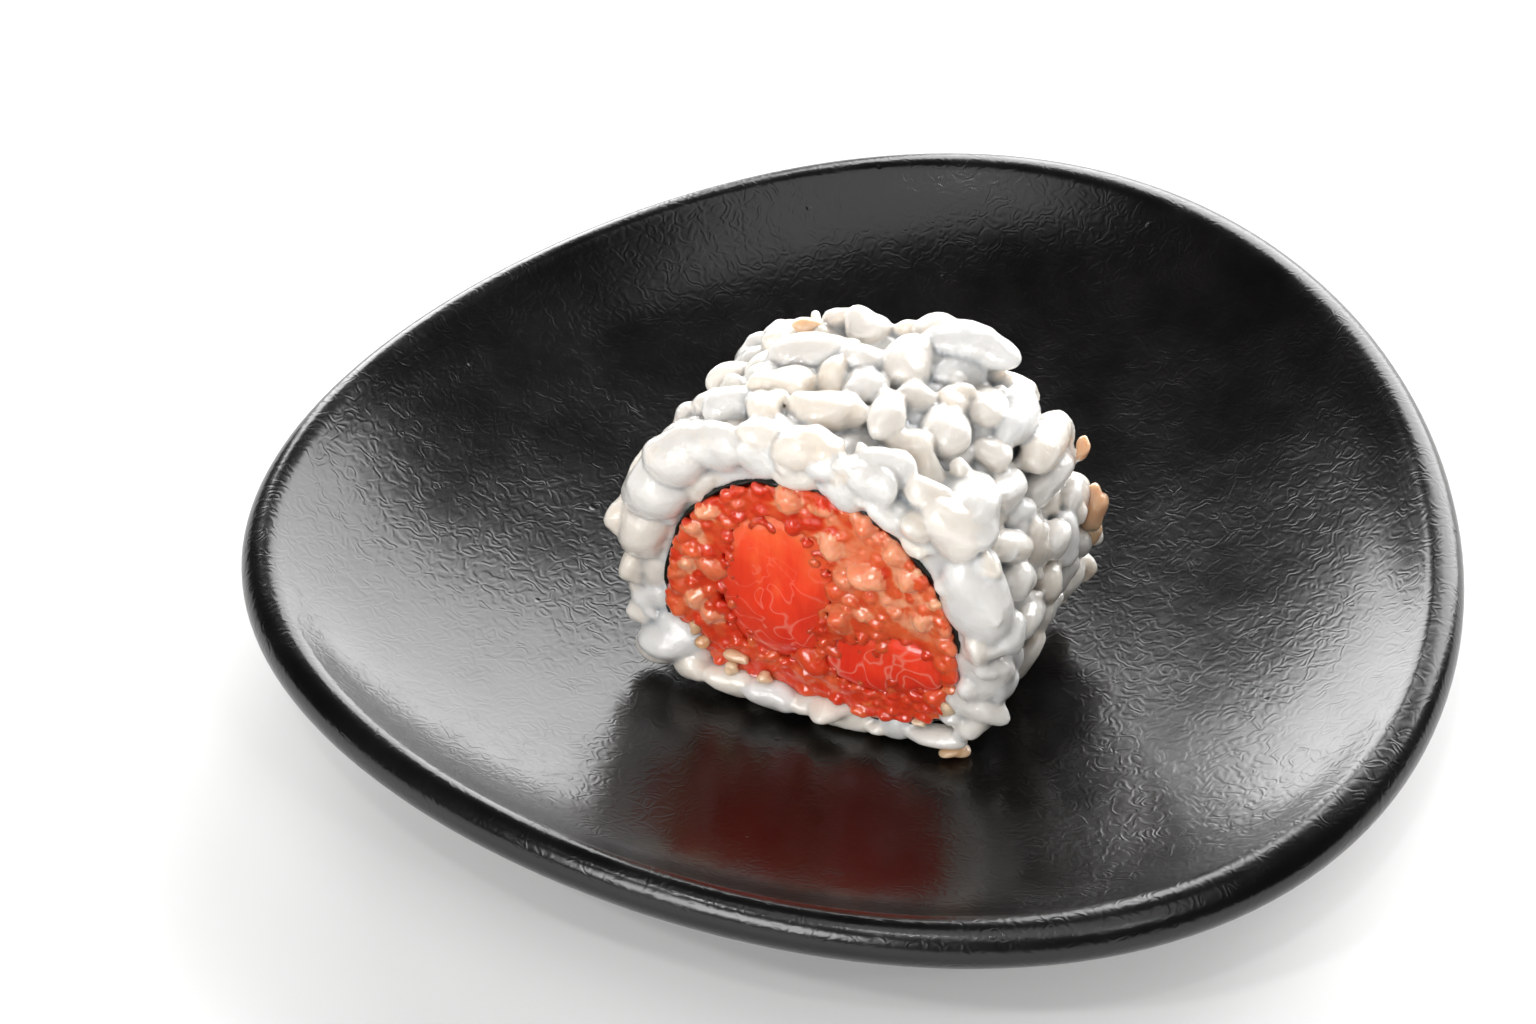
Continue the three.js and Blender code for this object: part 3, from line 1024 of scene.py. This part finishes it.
# Bits of rice stained by the fish, and the loose grain on the dish
STAINED_GRAINS = (
    PlacedGrain(Side.TOP, -8.4, 17.8, 33.4, 20, 3.0, 1.8),
    PlacedGrain(Side.RIGHT, 20.6, 20.6, 18.0, 75, 5.2, 2.8),
    PlacedGrain(Side.RIGHT, 20.4, 20.2, 15.4, 20, 3.0, 2.2),
    PlacedGrain(Side.RIGHT, 18.9, 20.2, 25.6, 60, 2.2, 1.4),
    PlacedGrain(Side.TOP, 15.0, 0.4, 1.2, 30, 2.6, 2.1),
    PlacedGrain(Side.FRONT, -9.6, -0.7, 7.0, 30, 1.9, 1.5),
    PlacedGrain(Side.FRONT, -6.2, -0.6, 6.2, 10, 2.9, 1.4),
    PlacedGrain(Side.FRONT, -6.4, -0.9, 4.6, 60, 1.6, 1.3),
    PlacedGrain(Side.FRONT, -3.2, -0.9, 4.8, 100, 1.6, 1.4),
    PlacedGrain(Side.FRONT, -10.2, -0.5, 8.6, 80, 1.4, 1.1),
    PlacedGrain(Side.FRONT, 11.8, -0.5, 4.8, 20, 1.5, 1.2),
    PlacedGrain(Side.FRONT, 14.3, -0.4, 8.2, 70, 2.2, 1.6),
)


@dataclass
class RiceJacket:
    """Rice round the outside of the roll: single grains, stuck together, over a thin core.

    Bends, tapers, lumps and flatness are shares of a grain's size, turns and tilts are in radians, and
    spacings are shares of the widths of two neighbours.
    """

    roll: Roll
    seed: int = 11
    half_length: tuple[float, float] = (2.0 * MM, 3.7 * MM)
    half_width: tuple[float, float] = (1.45 * MM, 2.05 * MM)
    half_thickness: tuple[float, float] = (1.35 * MM, 1.8 * MM)
    lump: tuple[float, float] = (0.04, 0.11)
    bend: tuple[float, float] = (-0.22, 0.22)
    taper: tuple[float, float] = (-0.16, 0.16)
    side_tilt: tuple[float, float] = (-0.25, 0.25)
    end_room: float = 1.2 * MM
    face_share: tuple[float, float] = (0.07, 0.8)
    face_depth: float = 0.75 * MM
    face_turn: float = 0.5
    face_tilt: tuple[float, float] = (-0.1, 0.1)
    face_flat: float = 0.8
    spacing_outside: float = 0.7
    spacing_under: float = 0.72
    spacing_knobs: float = 2.2
    spacing_face: float = 0.62
    knob_half: tuple[float, float] = (0.45 * MM, 1.0 * MM)
    knob_rise: float = 0.5 * MM
    sunk: tuple[float, float] = (0.9 * MM, 2.0 * MM)
    under: tuple[float, float] = (2.2 * MM, 3.4 * MM)
    placed_thickness: float = 0.44
    placed_sunk: float = 0.55
    placed_bend: tuple[float, float] = (-0.15, 0.15)
    fineness: int = 4
    voxel: float = 0.23 * MM
    smoothing: int = 3
    triangle_limit: int = 180_000
    core_inset: float = 2.5 * MM
    core_recess: float = 0.35 * MM
    core_tone: float = 0.2
    dent: float = 0.10 * MM
    dent_size: float = 1.6 * MM
    pucker: float = 0.05 * MM
    pucker_size: float = 0.7 * MM
    # Painted shade: rounds and depth of the hollow measure that lays the blue-grey shade
    hollow_rounds: int = 40
    hollow_depth: float = 0.7 * MM
    tries: int = 2600

    def __post_init__(self) -> None:
        """Starts the random numbers that lay the grains."""
        self.random = np.random.default_rng(self.seed)

    def pick(self, span: tuple[float, float]) -> float:
        """Picks a number from a span."""
        return float(self.random.uniform(*span))

    def grain(self, centre: Array, axes: Array, flat: float = 1.0) -> Kernel:
        """Makes one grain of random size at a place.

        Args:
            centre: Middle of the grain.
            axes: Its long, wide and thick directions.
            flat: Share of its thickness that is left.

        Returns:
            The grain.
        """
        half = np.array([self.pick(self.half_length), self.pick(self.half_width),
                         self.pick(self.half_thickness) * flat])
        return Kernel(centre, axes, half, tone=self.random.random(),
                      bend=self.pick(self.bend), taper=self.pick(self.taper),
                      lump=self.pick(self.lump), phase=self.pick(PHASES))

    def placed_grain(self, placed: PlacedGrain) -> Kernel:
        """Makes a grain that has its own place, sunk so that its back meets the roll's outside there."""
        out, across = (np.array(direction) for direction in placed.side.value)
        half = np.array([placed.length, placed.width, 2 * self.placed_thickness * placed.width]) * MM / 2
        centre = np.array([placed.across, placed.along, placed.up]) * MM - out * half[2] * self.placed_sunk
        axes = surface_axes(out, across, math.radians(placed.heading), 0.0)
        return Kernel(centre, axes, half, tone=self.random.random(), bend=self.pick(self.placed_bend),
                      taper=self.pick(self.placed_bend), lump=self.pick(self.lump), phase=self.pick(PHASES))

    def knob(self, whole: Kernel) -> Kernel:
        """Makes a broken bit that sticks out where a whole grain would lie."""
        size = self.pick(self.knob_half)
        centre = whole.centre + self.knob_rise * whole.axes[2]
        return Kernel(centre, whole.axes, size * BROKEN_BIT, tone=whole.tone,
                      lump=self.lump[1], phase=whole.phase)

    def side_grain(self, inset: float) -> Kernel:
        """Makes a grain on the roll's outside.

        Args:
            inset: How far inside the rice outline its middle lies.

        Returns:
            The grain.
        """
        outline = self.roll.rice
        turn = outline.even_turn(np.array([self.random.random()]))
        ahead = outline.points(turn + TURN_STEP, inset)[0]
        behind = outline.points(turn - TURN_STEP, inset)[0]
        flow = (ahead - behind) / np.linalg.norm(ahead - behind)
        across, up = outline.points(turn, inset)[0]
        along = self.pick((self.end_room, self.roll.length - self.end_room))
        tangent, normal = np.array([flow[0], 0, flow[1]]), np.array([flow[1], 0, -flow[0]])
        axes = surface_axes(normal, tangent, self.pick((0, math.pi)), self.pick(self.side_tilt))
        return self.grain(np.array([across, along, up]), axes)

    def face_grain(self, is_front: bool) -> Kernel:
        """Makes a grain on a cut end, pressed flat by the knife."""
        turn = self.roll.rice.even_turn(np.array([self.random.random()]))
        share = self.pick(self.face_share)
        inner, outer = self.roll.nori.points(turn, -self.roll.gap)[0], self.roll.rice.points(turn)[0]
        across, up = inner + share * (outer - inner)
        along = self.face_depth if is_front else self.roll.length - self.face_depth
        normal = np.array([0, -1.0 if is_front else 1.0, 0])
        flow = np.array([outer[1] - inner[1], 0, inner[0] - outer[0]])
        axes = surface_axes(normal, flow / np.linalg.norm(flow), self.random.normal(0, self.face_turn),
                            self.pick(self.face_tilt))
        return self.grain(np.array([across, along, up]), axes, flat=self.face_flat)

    def lay_grains(self) -> list[Kernel]:
        """Lays the grains: those on the outside, those under them and those on the cut ends."""
        outside, under = Bed(self.spacing_outside), Bed(self.spacing_under)
        front, back, knobs = Bed(self.spacing_face), Bed(self.spacing_face), Bed(self.spacing_knobs)
        for placed in TOP_GRAINS:
            outside.add(self.placed_grain(placed))
        for placed in FACE_GRAINS:
            front.add(self.placed_grain(placed))
        for _ in range(self.tries):
            outside.lay(self.side_grain(self.pick(self.sunk)))
        for _ in range(self.tries // 2):
            under.lay(self.side_grain(self.pick(self.under)))
        for _ in range(self.tries // 4):
            front.lay(self.face_grain(True))
            back.lay(self.face_grain(False))
            knobs.lay(self.knob(self.side_grain(self.pick(self.sunk))))
            knobs.lay(self.knob(self.face_grain(True)))
            knobs.lay(self.knob(self.face_grain(False)))
        return [grain for bed in (outside, under, front, back, knobs) for grain in bed.kernels]

    def core(self) -> bpy.types.Object:
        """Models the thin core that the grains lie on."""
        roll = self.roll
        core = roll.sleeve(
            "rice_core", roll.nori.points,
            lambda turn: roll.rice.points(turn, self.core_inset),
            (self.core_recess, roll.length - self.core_recess), 120, 16)
        move_points(core, roll.place(points_of(core)))
        return core

    def build(self) -> bpy.types.Object:
        """Lays the grains over the core, melts them together and marks each grain's tone.

        Returns:
            The rice.
        """
        rice = melt_bits("rice", "grain_tone", self.roll, self.lay_grains(), self.fineness, self.core(),
                         self.core_tone, self.voxel, self.smoothing)
        lift(rice, lambda points: self.dent * rough(points, self.dent_size, 3.0)
             + self.pucker * rough(points, self.pucker_size, 9.0))
        # Painted shade: marks how deep each vertex lies in a hollow, for the blue-grey shade colour
        paint(rice, "painted_hollow_shade", hollows(rice, self.hollow_rounds, self.hollow_depth))
        thin_out(rice, self.triangle_limit)
        shade_smooth(rice)
        return rice

    def build_stained(self) -> bpy.types.Object:
        """Models the stained bits of rice, each a closed body of its own, as one piece.

        Returns:
            The stained bits.
        """
        ball, triangles = unit_ball(self.fineness)
        grains = [self.placed_grain(placed) for placed in STAINED_GRAINS]
        shapes = [self.roll.place(grain.shape(ball)) for grain in grains]
        faces = triangles[None] + len(ball) * np.arange(len(shapes))[:, None, None]
        stained = mesh_piece("stained_rice", np.concatenate(shapes), faces.reshape(-1, 3))
        lift(stained, lambda points: 2 * self.dent * rough(points, self.dent_size, 5.0))
        paint(stained, "grain_tone", np.repeat([grain.tone for grain in grains], len(ball)))
        # The stained bits get no painted shade
        paint(stained, "painted_hollow_shade", np.zeros(len(stained.data.vertices)))
        shade_smooth(stained)
        return stained

    def dress(self) -> None:
        """Builds the rice with its finishes."""
        hand_over(self.build(), "rice", CookedRice().build(), "rice_jacket")
        # The last colour is the painted hollow shade, which stays unused on the stained bits
        stain = CookedRice("fish_stained_rice", "#e0bd9c", "#cf9c72", "#b98058")
        hand_over(self.build_stained(), "rice", stain.build())


@dataclass(frozen=True)
class Strip:
    """Rounded outline of a strip of whole salmon on the cut face."""

    across: float
    up: float
    half_width: float
    half_height: float
    turn: float
    power: float

    def points(self, turn: Array, scale: Array | float = 1.0) -> Array:
        """Gives points of the outline, or of a smaller one inside it, as places across and up."""
        angle = 2 * np.pi * turn
        wide = self.half_width * signed_power(np.cos(angle), self.power)
        tall = self.half_height * signed_power(np.sin(angle), self.power)
        cos, sin = math.cos(self.turn), math.sin(self.turn)
        flat = np.stack([wide * cos - tall * sin, wide * sin + tall * cos], axis=-1)
        return np.array([self.across, self.up]) + scale * flat

    def holds(self, places: Array, margin: float) -> Array:
        """Says which places across and up lie inside the outline grown by a margin."""
        cos, sin = math.cos(self.turn), math.sin(self.turn)
        x, y = places[..., 0] - self.across, places[..., 1] - self.up
        wide = np.abs(x * cos + y * sin) / (self.half_width + margin)
        tall = np.abs(y * cos - x * sin) / (self.half_height + margin)
        return wide ** self.power + tall ** self.power <= 1


@dataclass(frozen=True)
class PlacedBead:
    """A clear, pale bead of salmon that the eye picks out on the front cut; millimetres and degrees."""

    across: float
    up: float
    heading: float
    length: float
    width: float


# The clear beads in the upper right of the cut face, then those along its left edge
CLEAR_BEADS = (
    PlacedBead(3.2, 24.2, 80, 2.9, 2.3),
    PlacedBead(6.6, 21.8, 20, 3.5, 3.0),
    PlacedBead(6.2, 27.7, 110, 2.3, 1.9),
    PlacedBead(9.3, 25.4, 120, 3.2, 2.3),
    PlacedBead(4.5, 20.4, 40, 2.3, 2.0),
    PlacedBead(10.4, 22.9, 100, 2.8, 2.1),
    PlacedBead(2.4, 28.2, 15, 2.5, 1.6),
    PlacedBead(11.8, 18.4, 60, 2.2, 1.8),
    PlacedBead(6.2, 16.9, 0, 1.9, 1.5),
    PlacedBead(-10.2, 21.0, 70, 2.2, 1.8),
    PlacedBead(-8.7, 23.6, 40, 2.4, 1.8),
    PlacedBead(-10.9, 16.2, 90, 2.0, 1.5),
    PlacedBead(-10.1, 12.2, 60, 2.5, 2.0),
    PlacedBead(-8.7, 10.6, 20, 2.1, 1.7),
)


@dataclass
class Filling:
    """Nori round chopped salmon with two strips of whole salmon, all running through the roll.

    Depths of beads, and the halves and depths of edge crumbs, are in millimetres. A pair that shapes a
    relief holds the size of its lumps and its height.
    """

    roll: Roll
    seed: int = 5
    left: Strip = Strip(-2.4 * MM, 16.4 * MM, 5.1 * MM, 8.5 * MM, math.radians(-8), 2.7)
    right: Strip = Strip(8.2 * MM, 11 * MM, 5.7 * MM, 3.2 * MM, math.radians(20), 2.5)
    bead_half: tuple[float, float] = (0.7 * MM, 1.35 * MM)
    crumb_half: tuple[float, float] = (0.28 * MM, 0.7 * MM)
    bead_share: float = 0.25
    clear_tone: tuple[float, float] = (0.65, 0.9)
    clear_depth: float = 0.15 * MM
    bead_depth: tuple[float, float] = (0.0, 0.6)
    bead_tilt: tuple[float, float] = (-0.4, 0.4)
    bead_length: tuple[float, float] = (1.0, 1.45)
    bead_thickness: tuple[float, float] = (0.75, 1.0)
    bead_lump: tuple[float, float] = (0.03, 0.1)
    bead_spacing: float = 0.72
    clear_lump: float = 0.1
    left_edge: tuple[float, float] = (6 * MM, 10 * MM)
    right_part: tuple[float, float] = (1 * MM, 4 * MM)
    upper_part: tuple[float, float] = (13 * MM, 18 * MM)
    tone_plain: float = 0.1
    tone_left: float = 0.1
    tone_upper_right: float = 0.4
    tone_big: float = 0.2
    tone_spread: float = 0.17
    edge_half: tuple[float, float] = (0.4, 0.75)
    edge_sunk: float = 0.85
    edge_depth: tuple[float, float] = (-0.1, 0.5)
    edge_lump: float = 0.08
    edge_spacing: float = 0.6
    edge_room: float = 0.4 * MM
    overlap: float = 2.6 * MM
    body_tone: float = 0.3
    bead_fineness: int = 3
    mash_voxel: float = 0.18 * MM
    triangle_limit: int = 160_000
    edge_crumbs: int = 420
    sheet: float = 0.35 * MM
    sheet_recess: float = 0.25 * MM
    strip_around: int = 96
    strip_rings: int = 14
    strip_steps: int = 24
    strip_shoulder: float = 1.6 * MM
    strip_swell: tuple[float, float] = (4.5 * MM, 0.45 * MM)
    strip_fibre: tuple[float, float] = (1.6 * MM, 0.12 * MM)
    dome: float = 0.7 * MM
    dome_power: int = 6
    dome_level: float = 0.45
    mash_smoothing: int = 2
    mash_relief: tuple[float, float] = (0.8 * MM, 0.07 * MM)
    nori_faces: tuple[int, int] = (240, 24)
    nori_crumple: tuple[float, float] = (2.2 * MM, 0.16 * MM)
    nori_rags: tuple[float, float] = (2.0 * MM, 0.6 * MM)
    nori_rag_edge: tuple[float, float] = (0.8, 0.95)
    tries: int = 2600

    def __post_init__(self) -> None:
        """Starts the random numbers that lay the beads."""
        self.random = np.random.default_rng(self.seed)

    def build_strip(self, name: str, strip: Strip, seed: float) -> bpy.types.Object:
        """Models a strip of whole salmon with gently domed, uneven cut ends.

        Args:
            name: Name of the piece.
            strip: Its outline on the cut face.
            seed: Picks its own unevenness.

        Returns:
            The strip.
        """
        length, size = self.roll.length, strip.half_width
        shares = np.sin(np.linspace(0.04, math.pi / 2, self.strip_rings))
        front = [(share * size, self.dome * (share ** self.dome_power - self.dome_level)) for share in shares]
        body = [(size, y) for y in np.linspace(
            self.strip_shoulder, length - self.strip_shoulder, self.strip_steps)]
        back = [(radius, length - y) for radius, y in reversed(front)]
        piece = turned_piece(name, front + body + back, self.strip_around, is_capped=True)
        points = points_of(piece)
        turn = np.arctan2(points[:, 1], points[:, 0]) / (2 * np.pi)
        flat = strip.points(turn, (np.hypot(points[:, 0], points[:, 1]) / size)[:, None])
        local = np.stack([flat[:, 0], points[:, 2], flat[:, 1]], axis=-1)
        (swell_size, swell), (fibre_size, fibre) = self.strip_swell, self.strip_fibre
        wave = rough(local, swell_size, seed) * swell + rough(local, fibre_size, seed + 7) * fibre
        out = local - np.array([strip.across, length / 2, strip.up])
        out /= np.linalg.norm(out, axis=1, keepdims=True)
        move_points(piece, self.roll.place(local + out * wave[:, None]))
        shade_smooth(piece)
        return piece

    def tone_at(self, place: Array, size: float) -> float:
        """Picks a bead's tone: paler for big beads, at the left edge and in the upper right of the cut."""
        at_left = smooth_share(-place[0], *self.left_edge)
        at_upper_right = smooth_share(place[0], *self.right_part) * smooth_share(place[1], *self.upper_part)
        pale = self.tone_plain + max(self.tone_left * at_left, self.tone_upper_right * at_upper_right)
        pale = pale + self.tone_big * smooth_share(size, *self.bead_half)
        return float(np.clip(pale + self.random.normal(0, self.tone_spread), 0, 1))

    def bead(self, is_front: bool) -> Kernel | None:
        """Makes one bead or crumb of chopped salmon on a cut end, or none where whole salmon shows."""
        nori = self.roll.nori
        place = np.array([nori.across + self.random.uniform(-0.5, 0.5) * nori.width,
                          nori.foot + self.random.uniform(0, 1) * nori.height])
        is_bead = self.random.random() < self.bead_share
        size = self.random.uniform(*(self.bead_half if is_bead else self.crumb_half))
        overlap = 0.0 if is_bead else self.overlap * self.random.random() ** 1.5
        on_strip = self.left.holds(place, -overlap) or self.right.holds(place, -overlap)
        if on_strip or not nori.holds(place, self.edge_room + size / 2):
            return None
        along = self.random.uniform(*self.bead_depth) * MM
        normal = np.array([0, -1.0 if is_front else 1.0, 0])
        axes = surface_axes(normal, np.array([1.0, 0, 0]), self.random.uniform(0, math.pi),
                            self.random.uniform(*self.bead_tilt))
        half = size * np.array([self.random.uniform(*self.bead_length), 1.0,
                                self.random.uniform(*self.bead_thickness)])
        centre = np.array([place[0], along if is_front else self.roll.length - along, place[1]])
        return Kernel(centre, axes, half, self.tone_at(place, size),
                      lump=self.random.uniform(*self.bead_lump), phase=self.random.uniform(*PHASES))

    def clear_bead(self, placed: PlacedBead) -> Kernel:
        """Makes a pale bead that has its own place on the front cut."""
        half = np.array([placed.length, placed.width, placed.width]) * MM / 2
        axes = surface_axes(np.array([0, -1.0, 0]), np.array([1.0, 0, 0]), math.radians(placed.heading), 0.0)
        centre = np.array([placed.across * MM, self.clear_depth, placed.up * MM])
        return Kernel(centre, axes, half, self.random.uniform(*self.clear_tone), lump=self.clear_lump,
                      phase=self.random.uniform(*PHASES))

    def edge_crumb(self, is_front: bool) -> Kernel:
        """Makes a crumb that lies against the nori on a cut end."""
        size = self.random.uniform(*self.edge_half) * MM
        turn = self.roll.nori.even_turn(np.array([self.random.random()]))
        across, up = self.roll.nori.points(turn, self.sheet + size * self.edge_sunk)[0]
        along = self.random.uniform(*self.edge_depth) * MM
        normal = np.array([0, -1.0 if is_front else 1.0, 0])
        axes = surface_axes(normal, np.array([1.0, 0, 0]), self.random.uniform(0, math.pi), 0.0)
        centre = np.array([across, along if is_front else self.roll.length - along, up])
        return Kernel(centre, axes, size * BROKEN_BIT, self.tone_at(np.array([across, up]), size),
                      lump=self.edge_lump, phase=self.random.uniform(*PHASES))

    def build_mash(self) -> bpy.types.Object:
        """Lays beads of chopped salmon over the node's own body and melts them together.

        Returns:
            The chopped salmon.
        """
        front, back = Bed(self.bead_spacing), Bed(self.bead_spacing)
        for placed in CLEAR_BEADS:
            front.add(self.clear_bead(placed))
        for _ in range(self.tries):
            for bed, is_front in ((front, True), (back, False)):
                bead = self.bead(is_front)
                if bead is not None:
                    bed.lay(bead)
        edge = Bed(self.edge_spacing)
        for index in range(self.edge_crumbs):
            edge.lay(self.edge_crumb(index % 2 == 0))
        beads = front.kernels + back.kernels + edge.kernels
        mash = melt_bits("chopped_salmon_mash", "bead_tone", self.roll, beads, self.bead_fineness,
                         copy_node("chopped_salmon"), self.body_tone, self.mash_voxel, self.mash_smoothing)
        relief_size, relief_height = self.mash_relief
        lift(mash, lambda points: relief_height * rough(points, relief_size, 2.0))
        thin_out(mash, self.triangle_limit)
        shade_smooth(mash)
        return mash

    def build_nori(self) -> bpy.types.Object:
        """Models the sheet of nori, crumpled a little and ragged at its cut edges.

        Returns:
            The nori.
        """
        roll = self.roll
        nori = roll.sleeve(
            "nori", lambda turn: roll.nori.points(turn, self.sheet), roll.nori.points,
            (self.sheet_recess, roll.length - self.sheet_recess), *self.nori_faces)
        points = points_of(nori)
        middle = np.array([roll.nori.across, 0, roll.nori.foot + roll.nori.waist])
        out = (points - middle) * np.array([1, 0, 1])
        out /= np.linalg.norm(out, axis=1, keepdims=True)
        edge = np.abs(points[:, 1] - roll.length / 2) / (roll.length / 2)
        (fold_size, fold), (rag_size, rag) = self.nori_crumple, self.nori_rags
        crumple = fold * rough(points, fold_size, 4.0)
        ragged = rag * rough(points * np.array([1, 0.05, 1]), rag_size, 8.0)
        ragged = ragged * smooth_share(edge, *self.nori_rag_edge)
        points = points + out * crumple[:, None] + np.array([0, 1.0, 0]) * ragged[:, None]
        move_points(nori, roll.place(points))
        shade_smooth(nori)
        return nori

    def dress(self) -> None:
        """Builds the filling with its finishes."""
        hand_over(self.build_nori(), "nori", DampNori().build(), "nori_sheet")
        hand_over(self.build_mash(), "salmon_mash", ChoppedSalmon().build(), "chopped_salmon")
        salmon = RawSalmon().build()
        hand_over(self.build_strip("salmon_strip_left", self.left, 1.0), "salmon", salmon, "salmon_left")
        hand_over(self.build_strip("salmon_strip_right", self.right, 5.0), "salmon", salmon, "salmon_right")


@dataclass(frozen=True)
class Softbox:
    """A soft light that faces the dish, placed by its direction from there.

    The azimuth is measured from +Y towards +X.
    """

    name: str
    azimuth: float
    elevation: float
    distance: float
    width: float
    height: float
    power: float
    aim: tuple[float, float, float] = (0.0, 0.0, 10 * MM)

    def build(self) -> None:
        """Adds the light."""
        light = bpy.data.lights.new(self.name, "AREA")
        light.shape = "RECTANGLE"
        light.size = self.width
        light.size_y = self.height
        light.energy = self.power
        turn, rise = math.radians(self.azimuth), math.radians(self.elevation)
        towards = Vector((math.sin(turn) * math.cos(rise), math.cos(turn) * math.cos(rise), math.sin(rise)))
        lamp = bpy.data.objects.new(self.name, light)
        lamp.location = Vector(self.aim) + towards * self.distance
        lamp.rotation_euler = (-towards).to_track_quat("-Z", "Y").to_euler()
        bpy.context.scene.collection.objects.link(lamp)


@dataclass
class Studio:
    """Pale floor, soft lights and the camera."""

    floor_size: float = 3.0
    camera_target: tuple[float, float, float] = (0.0, 0.0, 5.5 * MM)
    camera_distance: float = 340 * MM
    camera_elevation: float = math.radians(45.53)
    camera_azimuth: float = math.radians(-4.96)
    lens: float = 84.47
    shift: tuple[float, float] = (-0.0543, 0.0561)
    surround: str = "#555555"
    surround_strength: float = 0.5
    softboxes: tuple[Softbox, ...] = (
        Softbox("back_right_softbox", 34, 23, 0.70, 0.76, 0.57, 10.6),
        Softbox("back_left_softbox", -15, 16, 0.70, 0.27, 0.40, 3.3),
        Softbox("front_left_softbox", 216, 23, 0.80, 0.45, 0.30, 4.8),
        Softbox("front_top_softbox", 165, 70, 0.80, 0.60, 0.60, 1.7),
        Softbox("left_spark", 230, 52, 0.70, 0.04, 0.04, 0.5),
        Softbox("right_spark", 150, 45, 0.70, 0.03, 0.03, 0.2),
        Softbox("front_spark", 195, 62, 0.70, 0.03, 0.03, 0.3),
    )

    def build_floor(self) -> None:
        """Adds the pale floor."""
        deselect_all()
        bpy.ops.mesh.primitive_plane_add(size=self.floor_size)
        floor = bpy.context.object
        floor.name = "floor"
        floor.data.materials.append(StudioFloor().build())

    def build_light(self) -> None:
        """Adds the softboxes and the dim surround."""
        for softbox in self.softboxes:
            softbox.build()
        world = bpy.data.worlds.new("surround")
        world.use_nodes = True
        background = world.node_tree.nodes["Background"]
        background.inputs["Color"].default_value = linear(self.surround)
        background.inputs["Strength"].default_value = self.surround_strength
        bpy.context.scene.world = world
        bpy.context.scene.view_settings.view_transform = "Standard"

    def build_camera(self) -> None:
        """Adds the camera."""
        flat = math.cos(self.camera_elevation)
        back = Vector((math.sin(self.camera_azimuth) * flat, -math.cos(self.camera_azimuth) * flat,
                       math.sin(self.camera_elevation)))
        data = bpy.data.cameras.new("camera")
        data.lens = self.lens
        data.shift_x, data.shift_y = self.shift
        data.clip_start = 10 * MM
        camera = bpy.data.objects.new("camera", data)
        camera.location = Vector(self.camera_target) + back * self.camera_distance
        camera.rotation_euler = (-back).to_track_quat("-Z", "Y").to_euler()
        bpy.context.scene.collection.objects.link(camera)
        bpy.context.scene.camera = camera

    def build(self) -> None:
        """Sets the whole studio up."""
        self.build_floor()
        self.build_light()
        self.build_camera()


def main() -> None:
    """Builds the dish, the roll and the studio."""
    logging.basicConfig(level=logging.INFO, format="%(message)s")
    Studio().build()
    dish = Dish()
    dish.dress()
    roll = Roll(dish)
    RiceJacket(roll).dress()
    Filling(roll).dress()
    deselect_all()


if __name__ == "__main__":
    main()
